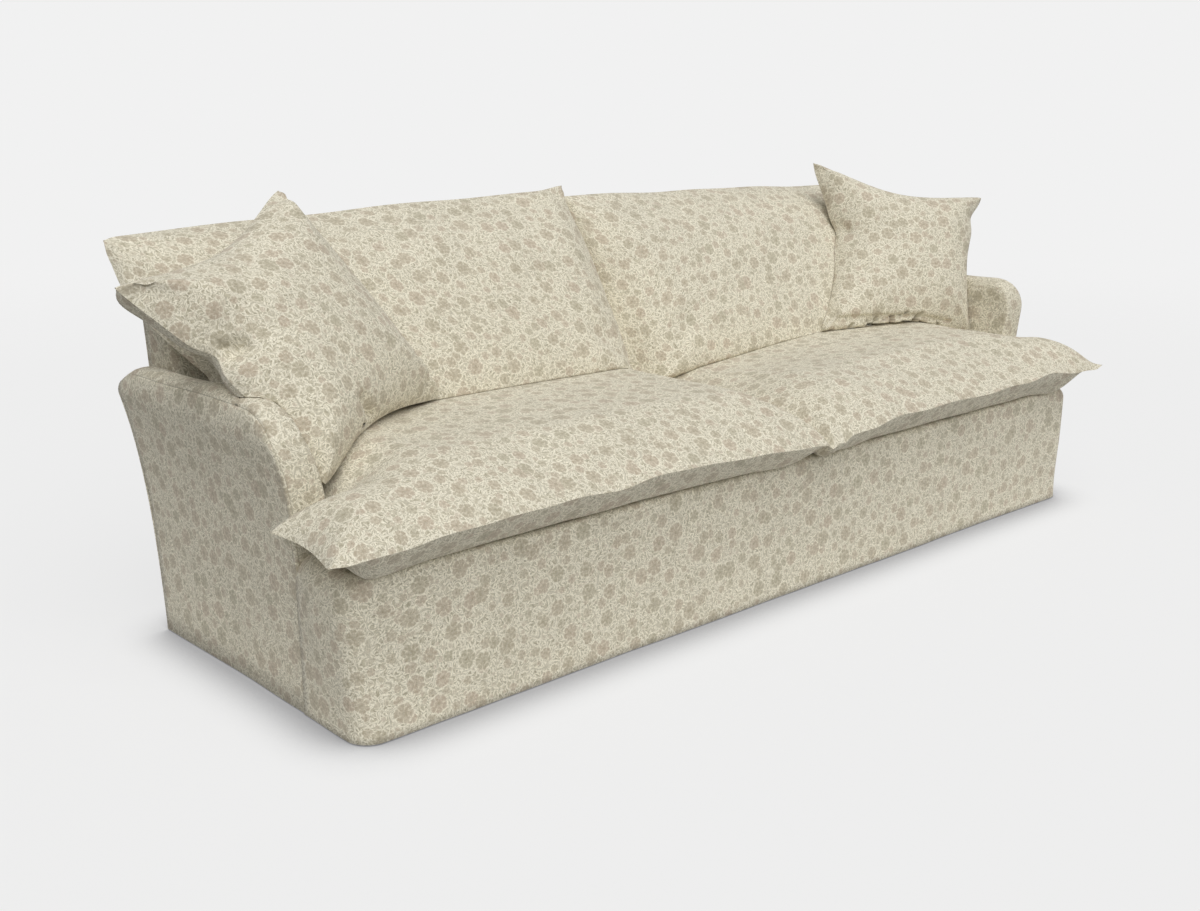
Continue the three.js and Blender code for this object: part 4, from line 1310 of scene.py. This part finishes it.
def cushionPiece(kind, sideName, panels, inside, stand, neighbours, filling, gap=0.002):
    name = f"{kind}Cushion.{sideName}"
    obj = sewPanels(name, panels, inside, closed=True)
    fillWithFeathers(obj, stand, filling)
    subdivide(obj)
    setPlaces(obj, places(obj) - normals(obj) * seamDepth(obj))
    keepClear(obj, [skins[n] for n in neighbours], gap)
    setPlaces(obj, stand(places(obj)))
    skins[name] = skinOf(obj)
    node, body = f"{kind}_cushion_{sideName}", f"{kind}_{sideName}"
    finishPiece(obj, [node], body, cushionLinen)
    print("cushion", name, "done")


def buildCushions():
    sides = (("right", 1), ("left", -1))
    for sideName, side in sides:
        cushionPiece("seat", sideName, onSide(side, seatPanels(side)), (side * 0.6, -0.1, 0.4),
                     standOnDeck, [f"armCover.{sideName}", "insideBack"], cushionFill)
    for sideName, side in sides:
        neighbours = [f"armCover.{sideName}", "insideBack", f"seatCushion.{sideName}"]
        cushionPiece("back", sideName, onSide(side, backPanels(side)), (side * 0.6, 0.3, 0.65),
                     standAtBack, neighbours, cushionFill, 0.0008)
    for sideName, spec in (("right", scatterRight), ("left", scatterLeft)):
        neighbours = [f"{kind}.{sideName}" for kind in ("armCover", "seatCushion", "backCushion")]
        filling = dict(scatterFill, corners=spec["corners"])
        cushionPiece("scatter", sideName, scatterPanels(spec), np.mean(spec["corners"], axis=0),
                     stayPut, neighbours, filling)


def dressFrame():
    finishes = {
        "foot_": stainedWood, "seat_spring": springSteel, "back_hessian": hessian,
        "dust_cover": blackCloth,
    }
    for name, node in frame["nodes"].items():
        if node.hide_render:
            continue
        material = next((finishes[start] for start in finishes if name.startswith(start)), beech)
        for slotHere in node.material_slots:
            slotHere.material = material
    print("frame and feet dressed")


# floor, light and camera

studio = {
    "backdrop": 0.880,
    "ambient": 0.34,
    "skyTint": (0.98, 0.99, 1.0, 1),
    "key": 2.28,
    "keyFrom": (-0.235, -0.59, 0.772),
    "keySpread": 70,  # degrees
    "keyTint": (1.0, 0.995, 0.985),
    "floorRadius": 9.0,
    "floorWhite": 0.58,
    "floorFar": 0.12,  # the floor gives back less light away from the sofa
    "floorLit": 0.22,  # how much of the floor's look is its real shading
    "contact": 0.15,  # reach of the painted contact shadow under the sofa, from an occlusion node
    "shadowTint": (0.24, 0.24, 0.255, 1),
    "lens": 41.34,
    "cameraAt": (-2.488, -2.430, 1.195),
    "cameraTurn": (math.pi / 2 - 0.261, 0, -0.74),
}


# 1 where the camera, a reflection or a pane sees it, 0 where it only gives light
def seenDirectly(b):
    path = b.tree.nodes.new("ShaderNodeLightPath").outputs
    direct = b.sum("MAXIMUM", path["Is Camera Ray"], path["Is Glossy Ray"])
    return b.sum("MAXIMUM", direct, path["Is Transmission Ray"])


def buildWorld(backdrop):
    world = bpy.data.worlds.new("studio")
    bpy.context.scene.world = world
    world.use_nodes = True
    world.node_tree.nodes.clear()
    b = Bench(world.node_tree)
    sky = {"Color": studio["skyTint"], "Strength": studio["ambient"]}
    light = b.put("ShaderNodeBackground", sky)
    seen = b.put("ShaderNodeBackground", {"Color": backdrop, "Strength": 1.0})
    out = b.tree.nodes.new("ShaderNodeOutputWorld")
    b.join(b.put("ShaderNodeMixShader", {0: seenDirectly(b), 1: light, 2: seen}), out.inputs[0])


# the floor is the backdrop's own grey, with the sofa's shadow kept on it: a painted contact shadow
# from an occlusion node in its emission, and a share of real shading
def buildFloor(backdrop):
    bpy.ops.object.select_all(action="DESELECT")
    bpy.ops.mesh.primitive_circle_add(
        vertices=96, radius=studio["floorRadius"], fill_type="TRIFAN", location=(0, 0, 0),
    )
    floor = bpy.context.object
    floor.name = "floor"
    material = bpy.data.materials.new("paleFloor")
    material.use_nodes = True
    floor.data.materials.append(material)
    material.node_tree.nodes.clear()
    b = Bench(material.node_tree)
    place = b.objectPlace()
    away = b.vector("LENGTH", b.vector("MULTIPLY", place, (0.6, 1, 0)), output=1)
    floorTone = b.between(away, 1.0, 1.7, studio["floorWhite"], studio["floorFar"])
    lit = b.put("ShaderNodeBsdfDiffuse", {"Color": b.grey(floorTone)})
    # painted shadow: an occlusion node darkens the emitted backdrop grey towards shadowTint near
    # the sofa
    occlusion = {"Distance": studio["contact"]}
    nearness = b.put("ShaderNodeAmbientOcclusion", occlusion, 1, samples=12)
    grey = b.blend(b.between(nearness, 0.35, 1.0), studio["shadowTint"], (1, 1, 1, 1))
    backdropWithPaintedShadow = b.blend(1.0, grey, backdrop, "MULTIPLY")
    plain = b.put("ShaderNodeEmission", {"Color": backdropWithPaintedShadow, "Strength": 1.0})
    shaded = b.put("ShaderNodeBsdfDiffuse", {"Color": (0.85, 0.85, 0.85, 1)})
    shown = b.put("ShaderNodeMixShader", {0: studio["floorLit"], 1: plain, 2: shaded})
    far = b.between(b.vector("LENGTH", place, output=1), 3.0, 7.0)
    gone = b.put("ShaderNodeBsdfTransparent", {})
    shown = b.put("ShaderNodeMixShader", {0: far, 1: shown, 2: gone})
    out = b.tree.nodes.new("ShaderNodeOutputMaterial")
    b.join(b.put("ShaderNodeMixShader", {0: seenDirectly(b), 1: lit, 2: shown}), out.inputs[0])


def buildStudio():
    backdrop = (studio["backdrop"],) * 3 + (1,)
    buildWorld(backdrop)
    buildFloor(backdrop)
    collection = bpy.context.scene.collection.objects
    lamp = bpy.data.lights.new("keyLight", "SUN")
    lamp.energy = studio["key"]
    lamp.angle = math.radians(studio["keySpread"])
    lamp.color = studio["keyTint"]
    holder = bpy.data.objects.new("keyLight", lamp)
    holder.rotation_euler = Vector(studio["keyFrom"]).to_track_quat("Z", "Y").to_euler()
    collection.link(holder)
    lens = bpy.data.cameras.new("camera")
    lens.sensor_width = 36
    lens.lens = studio["lens"]
    lens.clip_end = 60
    viewer = bpy.data.objects.new("camera", lens)
    viewer.location = studio["cameraAt"]
    viewer.rotation_euler = studio["cameraTurn"]
    collection.link(viewer)
    bpy.context.scene.camera = viewer
    bpy.context.scene.view_settings.view_transform = "Standard"
    print("studio ready")


buildStudio()
buildCovers()
buildCushions()
dressFrame()
